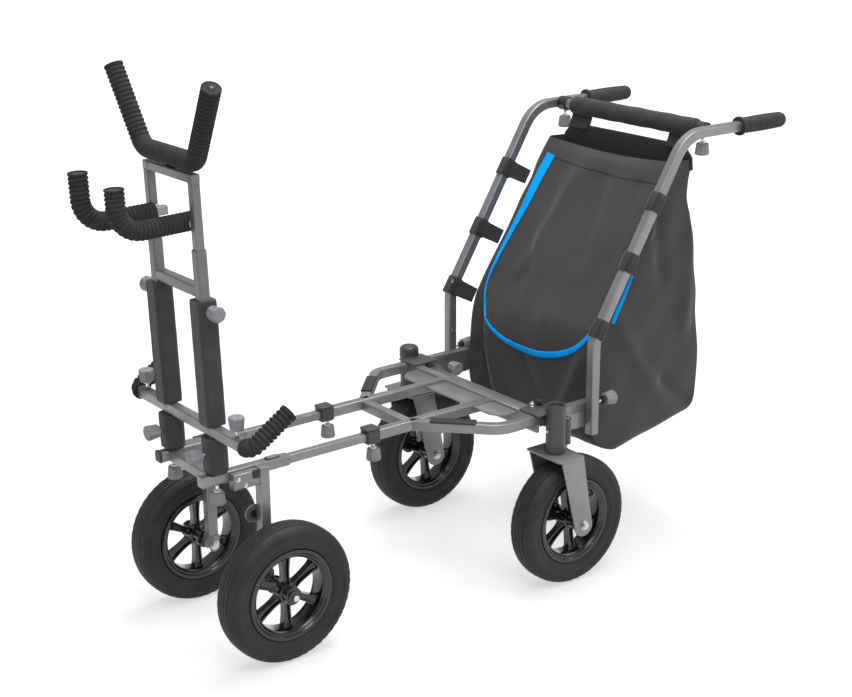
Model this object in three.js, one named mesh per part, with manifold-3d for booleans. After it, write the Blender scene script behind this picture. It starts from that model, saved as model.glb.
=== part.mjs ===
// Fishing trolley: a telescoping steel tube frame on four spoked wheels, with a mast that carries
// foam rests in front, and a leaning push handle with a hanging bag at the rear.
// Millimetres, +X towards the push handle, +Y to the trolley's right, +Z up.
import * as THREE from "three";
import { mergeVertices } from "three/addons/utils/BufferGeometryUtils.js";
import Module from "manifold-3d";

const wasm = await Module();
wasm.setup();

// Shared sizes
const tube = 20;
const innerTube = 16;
const tubeWall = 1.6;
const gap = 0.3;
const fit = 0.3;
const overrun = 4;
const weld = 0.5;
const full = Math.PI * 2;

// Wheels
const wheelRadius = 130;
const wheelSegments = 32;
const tyreHalfWidth = 30;
const tyreBeadRadius = 92;
const tyreBeadHalfWidth = 22;
const rimInnerRadius = 78;
const rimHalfWidth = 24;
const spokeCount = 6;
const spokeDepth = 14;
const spokeRootWidth = 15;
const spokeTipWidth = 24;
const hubRadius = 19;
const hubHalfLength = 38;
const axleRadius = 6;
const axleNutRadius = 9.5;
const axleNutLength = 8;
const frontTrackHalf = 158;

// Deck
const deckTop = 351;
const railY = 76;
const railFront = 262;
const crossFrontX = 340;
const crossRearX = 550;
const bowY = 202;
const bowCornerX = 463;
const bowStartX = 344;
const bowBend = 46;
const bowEnd = 706;
const plateStart = 614;
const plateDepth = 51;
const gussetStart = 400;
const gussetEnd = 505;
const gussetThickness = 4;
const gussetDrop = 8;
const beamAhead = 52;
const beamBehind = 35;
const beamHalf = 254;
const beamThickness = 5.5;
const beamLip = 18;
const beamLipThickness = 4;
const collarLength = 31;
const collarWall = 3.5;
const collarLipHeight = 4;
const collarLipReach = 5;
const collarSeat = 10;

// Rear swivel wheels
const kingpinBehindCross = 24;
const kingpinY = 232.5;
const kingpinRadius = 8;
const trail = 35;
const forkTop = 277;
const forkThickness = 4;
const forkHalfWidth = 49;
const forkHalfLength = 32;
const forkFootRadius = 23;
const forkLegTopHalf = 30;
const housingRadius = 18;
const housingCapRadius = 20;
const housingCapHeight = 24;
const housingTop = 364;
const housingCapTopRadius = 15;
const housingRoof = 14;
const kingpinEnd = 344;
const lockX = 27;
const lockTubeRadius = 7;
const lockTubeBottom = 288;
const lockTubeTop = 334;
const lockPinRadius = 4;
const lockHeadRadius = 6;
const lockHeadHeight = 8;
const lockClear = 0.9;
const lockWeb = 4;
const saddleAhead = 13;
const saddleBehind = 24;
const saddleThickness = 3;
const saddleDrop = 24;

// Front end
const sleeveFront = -110;
const sleeveRear = 66;
const sleeveEndWall = 6;
const slideFront = -40;
const slideRailLength = 400;
const frontCrossX = -86;
const carrierStart = -62;
const carrierEnd = 9;
const carrierInner = 78;
const legY = 96.5;
const legTop = 318;

// Mast
const mastX = -80;
const mastLean = 1.8;
const lowerFoamWidth = 32;
const upperFoamWidth = 30.5;
const lowerFoamBottom = 5;
const lowerFoamTop = 69;
const foamCorner = 7;
const armBarHeight = 81;
const armBarHalf = 168;
const armBarBore = 92;
const upperFoamBottom = 92.5;
const upperFoamTop = 317;
const hBarHeight = 331;
const mastTop = 404;
const mastBoreBottom = 150;
const innerBottom = 209;
const innerTop = 533;
const screwHole = 3.6;

// Rests
const ribCrest = 17;
const ribValley = 15;
const ribBore = 12.6;
const ribPitch = 7;
const hookHeight = 448;
const hookY = 50;
const hookBack = 12;
const hookFoamStart = 12;
const hookReach = 138;
const hookRise = 76;
const hookBend = 44;
const hookBoltRadius = 4;
const restRibPitch = 8;
const restBaseHalf = 88;
const restArmRise = 134;
const restArmSpread = 72;
const restBend = 30;
const restLean = 3;
const restWasherHeight = 2.4;
const restWasherRadius = 12;
const restBoltRadius = 4;
const armRibPitch = 9;
const armCrest = 16.6;
const armValley = 14.4;
const armBore = 13.2;
const armFoamStart = 170;
const armStraight = 26;
const armBend = 18;
const armRun = 86;
const armRise = 48;
const armInner = 96;

// Push handle
const postX = 678;
const postBottom = 287;
const postBendHeight = 478;
const gripHeight = 850;
const gripBendX = 907;
const postLowerBend = 60;
const postUpperBend = 80;
const postEnd = 1186;
const gripStart = 1056;
const gripEnd = 1200;
const gripRadius = 15;
const gripNeckRadius = 13.4;
const gripFlangeRadius = 19;
const gripFlangeLength = 7;
const gripTubeRadius = 9.6;
const crossbarX = 978;
const crossbarRadius = 11;
const crossbarClampRadius = 15;
const crossbarClampLength = 22;

// Bag
const bagPostClear = 26.3;
const bagWall = 4;
const bagFrontX = 714;
const bagFrontLowZ = 335;
const bagBottomFrontX = 738;
const bagBottomZ = 236;
const bagRearX = 985;
const bagRearBottomX = 960;
const bagRearTopX = 962;
const bagTopRearZ = 806;
const bagTopFrontX = 908;
const bagTopFrontZ = 772;
const bagFrontBendZ = 490;
const bagFrontBendX = 736;
const bagMouth = 26;
const bagSleeveRadius = 20;
const bagStrapStart = 128;
const bagStrapWidth = 52;
const bagStrapThickness = 10;
const tieWidth = 32;
const tieThickness = 2.5;
const tieHeights = [508, 615, 730];

// Knobs
const knobRadius = 12;
const knobTopShare = 0.84;
const knobLength = 22;
const knobSides = 12;
const screwRadius = 3;
const bigKnobRadius = 14.5;
const bigKnobLength = 24;
const knobCollarRadius = 8;
const knobCollarLength = 7;

// Derived places
const half = tube / 2;
const innerHalf = innerTube / 2;
const boreHalf = innerHalf + fit;
const deckMid = deckTop - half;
const deckBottom = deckTop - tube;
const postY = bowY + tube + gap;
const slideRear = slideFront + slideRailLength;
const kingpinX = crossRearX + kingpinBehindCross;
const beamFront = kingpinX - beamAhead;
const beamRear = kingpinX + beamBehind;
const saddleStart = kingpinX - saddleAhead;
const saddleEnd = kingpinX + saddleBehind;
const bagHalf = postY - half - bagPostClear;
const bagStrapEnd = bagStrapStart + bagStrapWidth;
const rad = (d) => d * Math.PI / 180;

// Turns a closed geometry into a solid, and a solid back into a geometry.
function solid(geometry) {
  let g = geometry.index ? geometry.clone() : geometry.clone();
  g.deleteAttribute("normal");
  g.deleteAttribute("uv");
  g = mergeVertices(g, 1e-4);
  return new wasm.Manifold(new wasm.Mesh({
    numProp: 3,
    vertProperties: new Float32Array(g.attributes.position.array),
    triVerts: new Uint32Array(g.index.array),
  }));
}

function toGeometry(body) {
  const m = body.getMesh();
  const g = new THREE.BufferGeometry();
  const pos = new Float32Array(m.numVert * 3);
  for (let i = 0; i < m.numVert; i += 1) {
    for (let k = 0; k < 3; k += 1) pos[i * 3 + k] = m.vertProperties[i * m.numProp + k];
  }
  g.setAttribute("position", new THREE.BufferAttribute(pos, 3));
  g.setIndex(new THREE.BufferAttribute(new Uint32Array(m.triVerts), 1));
  g.computeVertexNormals();
  return g;
}

function join(parts) {
  let out = solid(parts[0]);
  for (const p of parts.slice(1)) out = out.add(solid(p));
  return toGeometry(out);
}

function cut(base, tools) {
  let out = solid(base);
  for (const t of tools) out = out.subtract(solid(t));
  return toGeometry(out);
}

// Box between two corners.
function block(x0, x1, y0, y1, z0, z1) {
  const g = new THREE.BoxGeometry(x1 - x0, y1 - y0, z1 - z0);
  return g.translate((x0 + x1) / 2, (y0 + y1) / 2, (z0 + z1) / 2);
}

// Round rod from a to b.
function rod(a, b, radius, sides = 12, endRadius = radius) {
  const from = new THREE.Vector3(...a);
  const dir = new THREE.Vector3(...b).sub(from);
  const g = new THREE.CylinderGeometry(endRadius, radius, dir.length(), sides);
  g.translate(0, dir.length() / 2, 0);
  g.applyQuaternion(new THREE.Quaternion().setFromUnitVectors(new THREE.Vector3(0, 1, 0), dir.normalize()));
  return g.translate(from.x, from.y, from.z);
}

// Turned body: points are radius and height, on +Z.
function turned(points, segments) {
  const g = new THREE.LatheGeometry(points.map((p) => new THREE.Vector2(p[0], p[1])), segments);
  return g.rotateX(Math.PI / 2);
}

// Flat outline in X and Z, extruded along Y from y0 to y1.
function sidePlate(points, y0, y1) {
  const shape = new THREE.Shape(points.map((p) => new THREE.Vector2(p[0], p[1])));
  const g = new THREE.ExtrudeGeometry(shape, { depth: y1 - y0, bevelEnabled: false, curveSegments: 8 });
  g.rotateX(Math.PI / 2);
  return g.translate(0, y1, 0);
}

// Flat outline in X and Y, extruded along Z from z0 to z1.
function flatPlate(points, z0, z1) {
  const shape = new THREE.Shape(points.map((p) => new THREE.Vector2(p[0], p[1])));
  return new THREE.ExtrudeGeometry(shape, { depth: z1 - z0, bevelEnabled: false }).translate(0, 0, z0);
}

// A bent centre line: straight runs joined by arcs, with a fixed side direction for its sections.
class BentLine extends THREE.Curve {
  constructor(corners, bends, side, arcSteps = 4) {
    super();
    const c = corners.map((p) => new THREE.Vector3(...p));
    this.side = new THREE.Vector3(...side);
    this.points = [c[0].clone()];
    for (let i = 1; i < c.length - 1; i += 1) {
      const back = c[i - 1].clone().sub(c[i]).normalize();
      const ahead = c[i + 1].clone().sub(c[i]).normalize();
      const halfAngle = back.angleTo(ahead) / 2;
      const reach = bends[i - 1] / Math.tan(halfAngle);
      const middle = back.clone().add(ahead).normalize().multiplyScalar(bends[i - 1] / Math.sin(halfAngle));
      const centre = c[i].clone().add(middle);
      const from = c[i].clone().addScaledVector(back, reach).sub(centre);
      const axis = from.clone().cross(c[i].clone().addScaledVector(ahead, reach).sub(centre)).normalize();
      const sweep = Math.PI - halfAngle * 2;
      for (let k = 0; k <= arcSteps; k += 1) {
        this.points.push(from.clone().applyAxisAngle(axis, sweep * k / arcSteps).add(centre));
      }
    }
    this.points.push(c[c.length - 1].clone());
  }

  getPoint(t) {
    const n = this.points.length - 1;
    const i = Math.min(n - 1, Math.floor(t * n));
    return this.points[i].clone().lerp(this.points[i + 1], t * n - i);
  }

  getSpacedPoints() {
    return this.points.map((p) => p.clone());
  }

  computeFrenetFrames() {
    const tangents = [];
    const normals = [];
    const binormals = [];
    const n = this.points.length;
    for (let i = 0; i < n; i += 1) {
      const t = this.points[Math.min(n - 1, i + 1)].clone().sub(this.points[Math.max(0, i - 1)]).normalize();
      const b = this.side.clone().addScaledVector(t, -this.side.dot(t)).normalize();
      tangents.push(t);
      binormals.push(b);
      normals.push(b.clone().cross(t));
    }
    return { tangents, normals, binormals };
  }
}

// Square tube section swept along a bent line; bore of zero makes a solid bar.
function squareSweep(line, outer, bore) {
  const o = outer / 2;
  const b = bore / 2;
  const corners = [[-o, -o], [o, -o], [o, o], [-o, o]];
  const shape = new THREE.Shape(corners.map((p) => new THREE.Vector2(p[0], p[1])));
  if (bore > 0) {
    const hole = [[-b, -b], [-b, b], [b, b], [b, -b]];
    shape.holes.push(new THREE.Path(hole.map((p) => new THREE.Vector2(p[0], p[1]))));
  }
  const steps = line.points.length - 1;
  return new THREE.ExtrudeGeometry(shape, { steps, bevelEnabled: false, extrudePath: line });
}

// Ribbed sleeve round a line: crest and valley rings by turns, and a bore that follows the line's own stations.
function ribbedSleeve(line, pitch, crest, valley, bore, sides = 8) {
  const lengths = [0];
  for (let i = 1; i < line.points.length; i += 1) {
    lengths.push(lengths[i - 1] + line.points[i].distanceTo(line.points[i - 1]));
  }
  const total = lengths[lengths.length - 1];
  const ribs = Math.round(total / pitch);
  const frames = line.computeFrenetFrames();
  const station = (s) => {
    let i = 1;
    while (i < lengths.length - 1 && lengths[i] < s) i += 1;
    const f = (s - lengths[i - 1]) / (lengths[i] - lengths[i - 1]);
    return {
      p: line.points[i - 1].clone().lerp(line.points[i], f),
      n: frames.normals[i - 1].clone().lerp(frames.normals[i], f).normalize(),
      b: frames.binormals[i - 1].clone().lerp(frames.binormals[i], f).normalize(),
    };
  };
  const verts = [];
  const faces = [];
  const ring = (s, radius) => {
    const st = station(s);
    const start = verts.length / 3;
    for (let k = 0; k < sides; k += 1) {
      const a = full * (k + 0.5) / sides;
      const p = st.p.clone().addScaledVector(st.n, radius * Math.cos(a)).addScaledVector(st.b, radius * Math.sin(a));
      verts.push(p.x, p.y, p.z);
    }
    return start;
  };
  const band = (a, b) => {
    for (let k = 0; k < sides; k += 1) {
      const m = (k + 1) % sides;
      faces.push(a + k, a + m, b + m, a + k, b + m, b + k);
    }
  };
  const outer = [ring(0, valley)];
  for (let i = 0; i < ribs; i += 1) {
    outer.push(ring(total * (i + 0.5) / ribs, crest));
    if (i < ribs - 1) outer.push(ring(total * (i + 1) / ribs, valley));
  }
  outer.push(ring(total, valley));
  for (let i = 1; i < outer.length; i += 1) band(outer[i - 1], outer[i]);
  const inside = lengths.map((s) => ring(s, bore));
  for (let i = 1; i < inside.length; i += 1) band(inside[i], inside[i - 1]);
  band(inside[0], outer[0]);
  band(outer[outer.length - 1], inside[inside.length - 1]);
  const g = new THREE.BufferGeometry();
  g.setAttribute("position", new THREE.BufferAttribute(new Float32Array(verts), 3));
  g.setIndex(faces);
  g.computeVertexNormals();
  if (signedVolume(g) < 0) g.setIndex(flipped(faces));
  return g;
}

function signedVolume(g) {
  const p = g.attributes.position;
  const idx = g.index.array;
  const a = new THREE.Vector3();
  const b = new THREE.Vector3();
  const c = new THREE.Vector3();
  let v = 0;
  for (let i = 0; i < idx.length; i += 3) {
    a.fromBufferAttribute(p, idx[i]);
    b.fromBufferAttribute(p, idx[i + 1]);
    c.fromBufferAttribute(p, idx[i + 2]);
    v += a.dot(b.cross(c));
  }
  return v;
}

function flipped(faces) {
  const out = [];
  for (let i = 0; i < faces.length; i += 3) out.push(faces[i], faces[i + 2], faces[i + 1]);
  return out;
}

// Square sleeve with cut corners round an upright, with a square bore.
function foamSleeve(width, bore, bottom, top) {
  const w = width / 2;
  const c = foamCorner;
  const outline = [[-w + c, -w], [w - c, -w], [w, -w + c], [w, w - c], [w - c, w], [-w + c, w], [-w, w - c], [-w, -w + c]];
  const body = flatPlate(outline, bottom, top);
  return cut(body, [block(-bore / 2, bore / 2, -bore / 2, bore / 2, bottom - overrun, top + overrun)]);
}

// Knob with its screw: tip of the screw at the origin, the head away along +Z.
function knob(radius, length, screwLength, collar) {
  const parts = [];
  const seat = screwLength + (collar ? knobCollarLength : 0);
  parts.push(rod([0, 0, 0], [0, 0, screwLength + weld], screwRadius, 8));
  if (collar) parts.push(rod([0, 0, screwLength], [0, 0, seat + weld], knobCollarRadius, 12));
  parts.push(rod([0, 0, seat], [0, 0, seat + length], radius * knobTopShare, knobSides, radius));
  return join(parts);
}

const steel = { color: 0x8f8e90, metalness: 0.75, roughness: 0.42 };
const knobGrey = { color: 0x6f7072, metalness: 0, roughness: 0.55 };
const black = { color: 0x232323, metalness: 0, roughness: 0.5 };
const foam = { color: 0x2f2e30, metalness: 0, roughness: 0.9 };
const rubber = { color: 0x35322f, metalness: 0, roughness: 0.85 };
const gloss = { color: 0x161616, metalness: 0, roughness: 0.25 };
const chrome = { color: 0xc9cacc, metalness: 0.9, roughness: 0.2 };
const cloth = { color: 0x474646, metalness: 0, roughness: 0.9 };

const trolley = new THREE.Group();
const mast = new THREE.Group();
mast.position.set(mastX, 0, deckTop);
mast.rotation.y = -rad(mastLean);
trolley.add(mast);

function add(name, geometry, look, parent = trolley, position = [0, 0, 0], rotation = [0, 0, 0]) {
  const mesh = new THREE.Mesh(geometry, new THREE.MeshStandardMaterial(look));
  mesh.name = name;
  mesh.position.set(...position);
  mesh.rotation.set(...rotation);
  parent.add(mesh);
  return mesh;
}

// Wheel pieces are turned about +Z and laid on their side, so that they spin about Y.
const tyreProfile = [
  [tyreBeadRadius, -tyreBeadHalfWidth],
  [wheelRadius * 0.8, -tyreHalfWidth * 0.95],
  [wheelRadius * 0.92, -tyreHalfWidth],
  [wheelRadius, -tyreHalfWidth * 0.42],
  [wheelRadius, tyreHalfWidth * 0.42],
  [wheelRadius * 0.92, tyreHalfWidth],
  [wheelRadius * 0.8, tyreHalfWidth * 0.95],
  [tyreBeadRadius, tyreBeadHalfWidth],
  [tyreBeadRadius, -tyreBeadHalfWidth],
];
const tyreGeometry = toGeometry(solid(turned(tyreProfile, wheelSegments))).rotateX(Math.PI / 2);

const rimOuter = tyreBeadRadius - gap;
const rimProfile = [
  [rimInnerRadius, -rimHalfWidth],
  [rimOuter, -rimHalfWidth],
  [rimOuter, rimHalfWidth],
  [rimInnerRadius, rimHalfWidth],
  [rimInnerRadius, -rimHalfWidth],
];
function wheelRim() {
  const parts = [turned(rimProfile, wheelSegments)];
  for (let i = 0; i < spokeCount; i += 1) {
    const r0 = hubRadius - overrun;
    const r1 = rimInnerRadius + overrun;
    const s = flatPlate([[r0, -spokeRootWidth / 2], [r1, -spokeTipWidth / 2],
      [r1, spokeTipWidth / 2], [r0, spokeRootWidth / 2]], -spokeDepth / 2, spokeDepth / 2);
    parts.push(s.rotateZ(full * (i + 0.25) / spokeCount));
  }
  parts.push(rod([0, 0, -hubHalfLength], [0, 0, hubHalfLength], hubRadius, 20));
  const body = join(parts);
  const bore = rod([0, 0, -hubHalfLength - overrun], [0, 0, hubHalfLength + overrun], axleRadius + fit, 12);
  return cut(body, [bore]).rotateX(Math.PI / 2);
}
const rimGeometry = wheelRim();

const sides = [["left", -1], ["right", 1]];

// Deck: two bored rails, front and rear cross tubes and the wide rear beam, welded together.
function deckFrame() {
  const parts = [];
  const crossRearHalf = bowY - half - gap;
  parts.push(block(crossRearX - half, crossRearX + half, -crossRearHalf, crossRearHalf, deckBottom, deckTop));
  parts.push(block(crossFrontX - half, crossFrontX + half, -railY, railY, deckBottom, deckTop));
  for (const [, s] of sides) {
    const y = s * railY;
    parts.push(block(railFront, crossRearX, y - half, y + half, deckBottom, deckTop));
  }
  const beamTop = deckBottom + weld;
  parts.push(block(beamFront, beamRear, -beamHalf, beamHalf, beamTop - beamThickness, beamTop));
  const lipBottom = beamTop - beamLip;
  parts.push(block(beamFront, beamFront + beamLipThickness, -beamHalf, beamHalf, lipBottom, beamTop));
  const tools = [];
  for (const [, s] of sides) {
    const y = s * railY;
    tools.push(block(railFront - overrun, crossRearX - half, y - boreHalf, y + boreHalf,
      deckMid - boreHalf, deckMid + boreHalf));
    const y0 = s * (bowY - half - fit * 4);
    const y1 = s * (beamHalf + overrun);
    tools.push(block(beamFront - overrun, beamRear + overrun, Math.min(y0, y1), Math.max(y0, y1),
      deckBottom - gap, beamTop + overrun));
    tools.push(rod([kingpinX, s * kingpinY, forkTop], [kingpinX, s * kingpinY, deckTop], housingRadius + gap, 24));
    tools.push(block(kingpinX, beamRear + overrun, s * kingpinY - lockTubeRadius - gap,
      s * kingpinY + lockTubeRadius + gap, forkTop, deckTop));
  }
  return cut(join(parts), tools);
}
add("deck_frame", deckFrame(), steel);

// Each bow runs out from the rail, turns along the deck and ends in a tall side plate that holds the post.
function bow(s) {
  const line = new BentLine([[bowStartX, s * railY, deckMid], [bowCornerX, s * bowY, deckMid],
    [bowEnd, s * bowY, deckMid]], [bowBend], [0, 0, 1], 5);
  const tubeBody = squareSweep(line, tube, 0);
  const outer = bowY + half;
  const inner = bowY - half;
  const plate = block(plateStart, bowEnd, Math.min(s * inner, s * outer), Math.max(s * inner, s * outer),
    deckTop - plateDepth, deckTop);
  const railFace = railY + half + gap;
  const gusset = flatPlate(s > 0
    ? [[gussetStart, railFace], [gussetEnd, railFace], [bowCornerX, inner + weld]]
    : [[gussetStart, -railFace], [bowCornerX, -inner - weld], [gussetEnd, -railFace]],
    deckTop - gussetDrop - gussetThickness, deckTop - gussetDrop);
  const clear = block(railFront, bowEnd, -railFace, railFace, deckBottom - overrun, deckTop + overrun);
  return cut(join([tubeBody, plate, gusset]), [clear]);
}

// Bearing tube of a swivel wheel, closed by its domed cap, with the lock tube behind and a saddle on the bow.
function housing(s) {
  const y = s * kingpinY;
  const capBottom = housingTop - housingCapHeight;
  const boreRadius = kingpinRadius + fit;
  const body = turned([
    [boreRadius, forkTop + gap],
    [housingRadius, forkTop + gap],
    [housingRadius, capBottom],
    [housingCapRadius, capBottom],
    [housingCapRadius, housingTop - housingCapHeight / 4],
    [housingCapTopRadius, housingTop],
    [0, housingTop],
    [0, housingTop - housingRoof],
    [boreRadius, housingTop - housingRoof],
    [boreRadius, forkTop + gap],
  ], 16).translate(kingpinX, y, 0);
  const lx = kingpinX + lockX;
  const lock = rod([lx, y, lockTubeBottom], [lx, y, lockTubeTop], lockTubeRadius, 12);
  const web = block(kingpinX + housingRadius - weld * 2, lx, y - lockWeb / 2, y + lockWeb / 2, lockTubeBottom, lockTubeTop);
  const innerFace = bowY - half - gap;
  const y0 = s * (innerFace - saddleThickness);
  const y1 = s * (kingpinY - housingRadius / 2);
  const top = block(saddleStart, saddleEnd, Math.min(y0, y1), Math.max(y0, y1), deckTop + gap,
    deckTop + gap + saddleThickness);
  const y2 = s * innerFace;
  const inside = block(crossRearX + half + gap, saddleEnd, Math.min(y0, y2), Math.max(y0, y2),
    deckTop - saddleDrop / 2, deckTop + gap + saddleThickness);
  const lockBore = rod([lx, y, lockTubeBottom - overrun], [lx, y, lockTubeTop + overrun], lockPinRadius + fit, 12);
  const kingBore = rod([kingpinX, y, forkTop - overrun], [kingpinX, y, housingTop - housingRoof], boreRadius, 12);
  return cut(join([body, top, inside, lock, web]), [lockBore, kingBore]);
}

// Fork: top plate, two strap legs, the kingpin above and the axle bolt with its nuts, all one weldment.
function fork(s) {
  const y = s * kingpinY;
  const x = kingpinX;
  const parts = [];
  parts.push(block(x - forkHalfLength, x + forkHalfLength, y - forkHalfWidth, y + forkHalfWidth,
    forkTop - forkThickness, forkTop));
  const foot = [];
  for (let i = 0; i <= 8; i += 1) {
    const a = -rad(10) - (Math.PI - rad(20)) * i / 8;
    foot.push([x + trail + forkFootRadius * Math.cos(a), wheelRadius + forkFootRadius * Math.sin(a)]);
  }
  const legOutline = [[x + forkLegTopHalf, forkTop - weld], ...foot, [x - forkLegTopHalf, forkTop - weld]];
  for (const k of [-1, 1]) {
    const a = y + k * forkHalfWidth;
    const b = y + k * (forkHalfWidth - forkThickness);
    parts.push(sidePlate(legOutline, Math.min(a, b), Math.max(a, b)));
  }
  parts.push(rod([x, y, forkTop - weld], [x, y, kingpinEnd], kingpinRadius, 12));
  const reach = forkHalfWidth + axleNutLength;
  parts.push(rod([x + trail, y - reach, wheelRadius], [x + trail, y + reach, wheelRadius], axleRadius, 12));
  for (const k of [-1, 1]) {
    const seat = forkHalfWidth - weld;
    parts.push(rod([x + trail, y + k * seat, wheelRadius], [x + trail, y + k * reach, wheelRadius], axleNutRadius, 6));
    const inner = forkHalfWidth - forkThickness + weld;
    parts.push(rod([x + trail, y + k * inner, wheelRadius],
      [x + trail, y + k * (hubHalfLength + gap), wheelRadius], axleNutRadius, 10));
  }
  return join(parts);
}

// Plastic collar on the front end of a rail, with a lip above and a screw hole below.
function collar(s) {
  const y = s * railY;
  const w = half + collarWall;
  const x0 = railFront - collarSeat;
  const x1 = x0 + collarLength;
  const body = block(x0, x1, y - w, y + w, deckMid - w, deckMid + w);
  const lip = block(x0 - collarLipReach, x1, y - w - 1.5 * gap, y + w + 1.5 * gap, deckMid + w - weld,
    deckMid + w + collarLipHeight);
  const seat = half + gap;
  return cut(join([body, lip]), [
    block(x0 - overrun, x1 + overrun, y - boreHalf, y + boreHalf, deckMid - boreHalf, deckMid + boreHalf),
    block(railFront - gap, x1 + overrun, y - seat, y + seat, deckMid - seat, deckMid + seat),
    rod([x0 + collarSeat / 2, y, deckMid - w - overrun], [x0 + collarSeat / 2, y, deckMid], screwRadius + fit, 8),
  ]);
}

for (const [side, s] of sides) {
  add(`bow_${side}`, bow(s), steel);
  add(`swivel_housing_${side}`, housing(s), black);
  add(`fork_${side}`, fork(s), steel);
  const ly = s * kingpinY;
  const lx = kingpinX + lockX;
  add(`lock_pin_${side}`, join([
    rod([lx, ly, forkTop + lockClear], [lx, ly, lockTubeTop + gap + weld], lockPinRadius, 12),
    rod([lx, ly, lockTubeTop + gap], [lx, ly, lockTubeTop + gap + lockHeadHeight], lockHeadRadius, 12),
  ]), chrome);
  add(`collar_${side}`, collar(s), black);
  add(`tyre_rear_${side}`, tyreGeometry, rubber, trolley, [kingpinX + trail, s * kingpinY, wheelRadius]);
  add(`rim_rear_${side}`, rimGeometry, gloss, trolley, [kingpinX + trail, s * kingpinY, wheelRadius]);
  add(`tyre_front_${side}`, tyreGeometry, rubber, trolley, [0, s * frontTrackHalf, wheelRadius]);
  add(`rim_front_${side}`, rimGeometry, gloss, trolley, [0, s * frontTrackHalf, wheelRadius]);
}

// Front end: bored sleeves, cross tube, carriers, legs and axle stubs with their nuts.
function frontFrame() {
  const parts = [];
  parts.push(block(frontCrossX - half, frontCrossX + half, -railY, railY, deckBottom, deckTop));
  const tools = [];
  for (const [, s] of sides) {
    const y = s * railY;
    parts.push(block(sleeveFront, sleeveRear, y - half, y + half, deckBottom, deckTop));
    tools.push(block(sleeveFront + sleeveEndWall, sleeveRear + overrun, y - boreHalf, y + boreHalf,
      deckMid - boreHalf, deckMid + boreHalf));
    const outerY = legY + innerHalf;
    parts.push(block(carrierStart, carrierEnd, Math.min(s * carrierInner, s * outerY),
      Math.max(s * carrierInner, s * outerY), deckBottom - tube, deckBottom + weld));
    const foot = [[innerHalf, legTop]];
    for (let i = 0; i <= 8; i += 1) {
      const a = -Math.PI * i / 8;
      foot.push([(innerHalf + gap * 4) * Math.cos(a), wheelRadius - innerHalf + innerHalf * 1.5 * Math.sin(a)]);
    }
    foot.push([-innerHalf, legTop]);
    parts.push(sidePlate(foot, s > 0 ? legY - innerHalf : -legY - innerHalf, s > 0 ? legY + innerHalf : -legY + innerHalf));
    const nutSeat = frontTrackHalf + hubHalfLength + gap;
    const nutEnd = nutSeat + axleNutLength;
    parts.push(rod([0, s * legY, wheelRadius], [0, s * (nutEnd + axleNutLength / 2), wheelRadius], axleRadius, 12));
    parts.push(rod([0, s * nutSeat, wheelRadius], [0, s * nutEnd, wheelRadius], axleNutRadius, 6));
    parts.push(rod([0, s * legY, wheelRadius], [0, s * (frontTrackHalf - hubHalfLength - gap), wheelRadius],
      axleNutRadius, 12));
  }
  return cut(join(parts), tools);
}
add("front_frame", frontFrame(), steel);

for (const [side, s] of sides) {
  const y = s * railY;
  const bar = block(slideFront, slideRear, y - innerHalf, y + innerHalf, deckMid - innerHalf, deckMid + innerHalf);
  const core = innerHalf - tubeWall;
  add(`slide_rail_${side}`, cut(bar, [block(slideFront - overrun, slideRear + overrun, y - core, y + core,
    deckMid - core, deckMid + core)]), steel);
}

// Mast: two uprights on the front sleeves, joined by the arm bar and the upper bar. Heights count from the deck top.
const mastFoot = gap + half * Math.sin(rad(mastLean));
function mastFrame() {
  const parts = [];
  parts.push(block(-half, half, -armBarHalf, armBarHalf, armBarHeight - half, armBarHeight + half));
  parts.push(block(-half, half, -railY, railY, hBarHeight - half, hBarHeight + half));
  const tools = [];
  for (const [, s] of sides) {
    const y = s * railY;
    parts.push(block(-half, half, y - half, y + half, mastFoot, mastTop));
    tools.push(block(-boreHalf, boreHalf, y - boreHalf, y + boreHalf, mastBoreBottom, mastTop + overrun));
    const b0 = s * armBarBore;
    const b1 = s * (armBarHalf + overrun);
    tools.push(block(-boreHalf, boreHalf, Math.min(b0, b1), Math.max(b0, b1), armBarHeight - boreHalf, armBarHeight + boreHalf));
  }
  return cut(join(parts), tools);
}
add("mast_frame", mastFrame(), steel, mast);

const topKnobHeight = upperFoamTop - knobRadius - overrun;
const lowKnobHeight = (lowerFoamBottom + lowerFoamTop) / 2 + overrun;
for (const [side, s] of sides) {
  const bore = tube + 2 * gap;
  const hole = screwRadius + fit * 2;
  const low = cut(foamSleeve(lowerFoamWidth, bore, lowerFoamBottom, lowerFoamTop), [
    rod([-lowerFoamWidth, 0, lowKnobHeight], [-half + overrun, 0, lowKnobHeight], hole, 8)]);
  add(`foam_lower_${side}`, low, foam, mast, [0, s * railY, 0]);
  const high = cut(foamSleeve(upperFoamWidth, bore, upperFoamBottom, upperFoamTop), [
    rod([0, s * (half - overrun), topKnobHeight], [0, s * upperFoamWidth, topKnobHeight], hole, 8)]);
  add(`foam_upper_${side}`, high, foam, mast, [0, s * railY, 0]);
}

// Telescoping inner frame with the hook bolts.
function innerFrame() {
  const parts = [block(-innerHalf, innerHalf, -railY, railY, innerTop - innerTube, innerTop)];
  for (const [, s] of sides) {
    const y = s * railY;
    parts.push(block(-innerHalf, innerHalf, y - innerHalf, y + innerHalf, innerBottom, innerTop));
    const end = s * (hookY + innerHalf + gap);
    parts.push(rod([0, y, hookHeight], [0, end, hookHeight], axleNutRadius, 12));
  }
  return join(parts);
}
add("inner_frame", innerFrame(), steel, mast);

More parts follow.
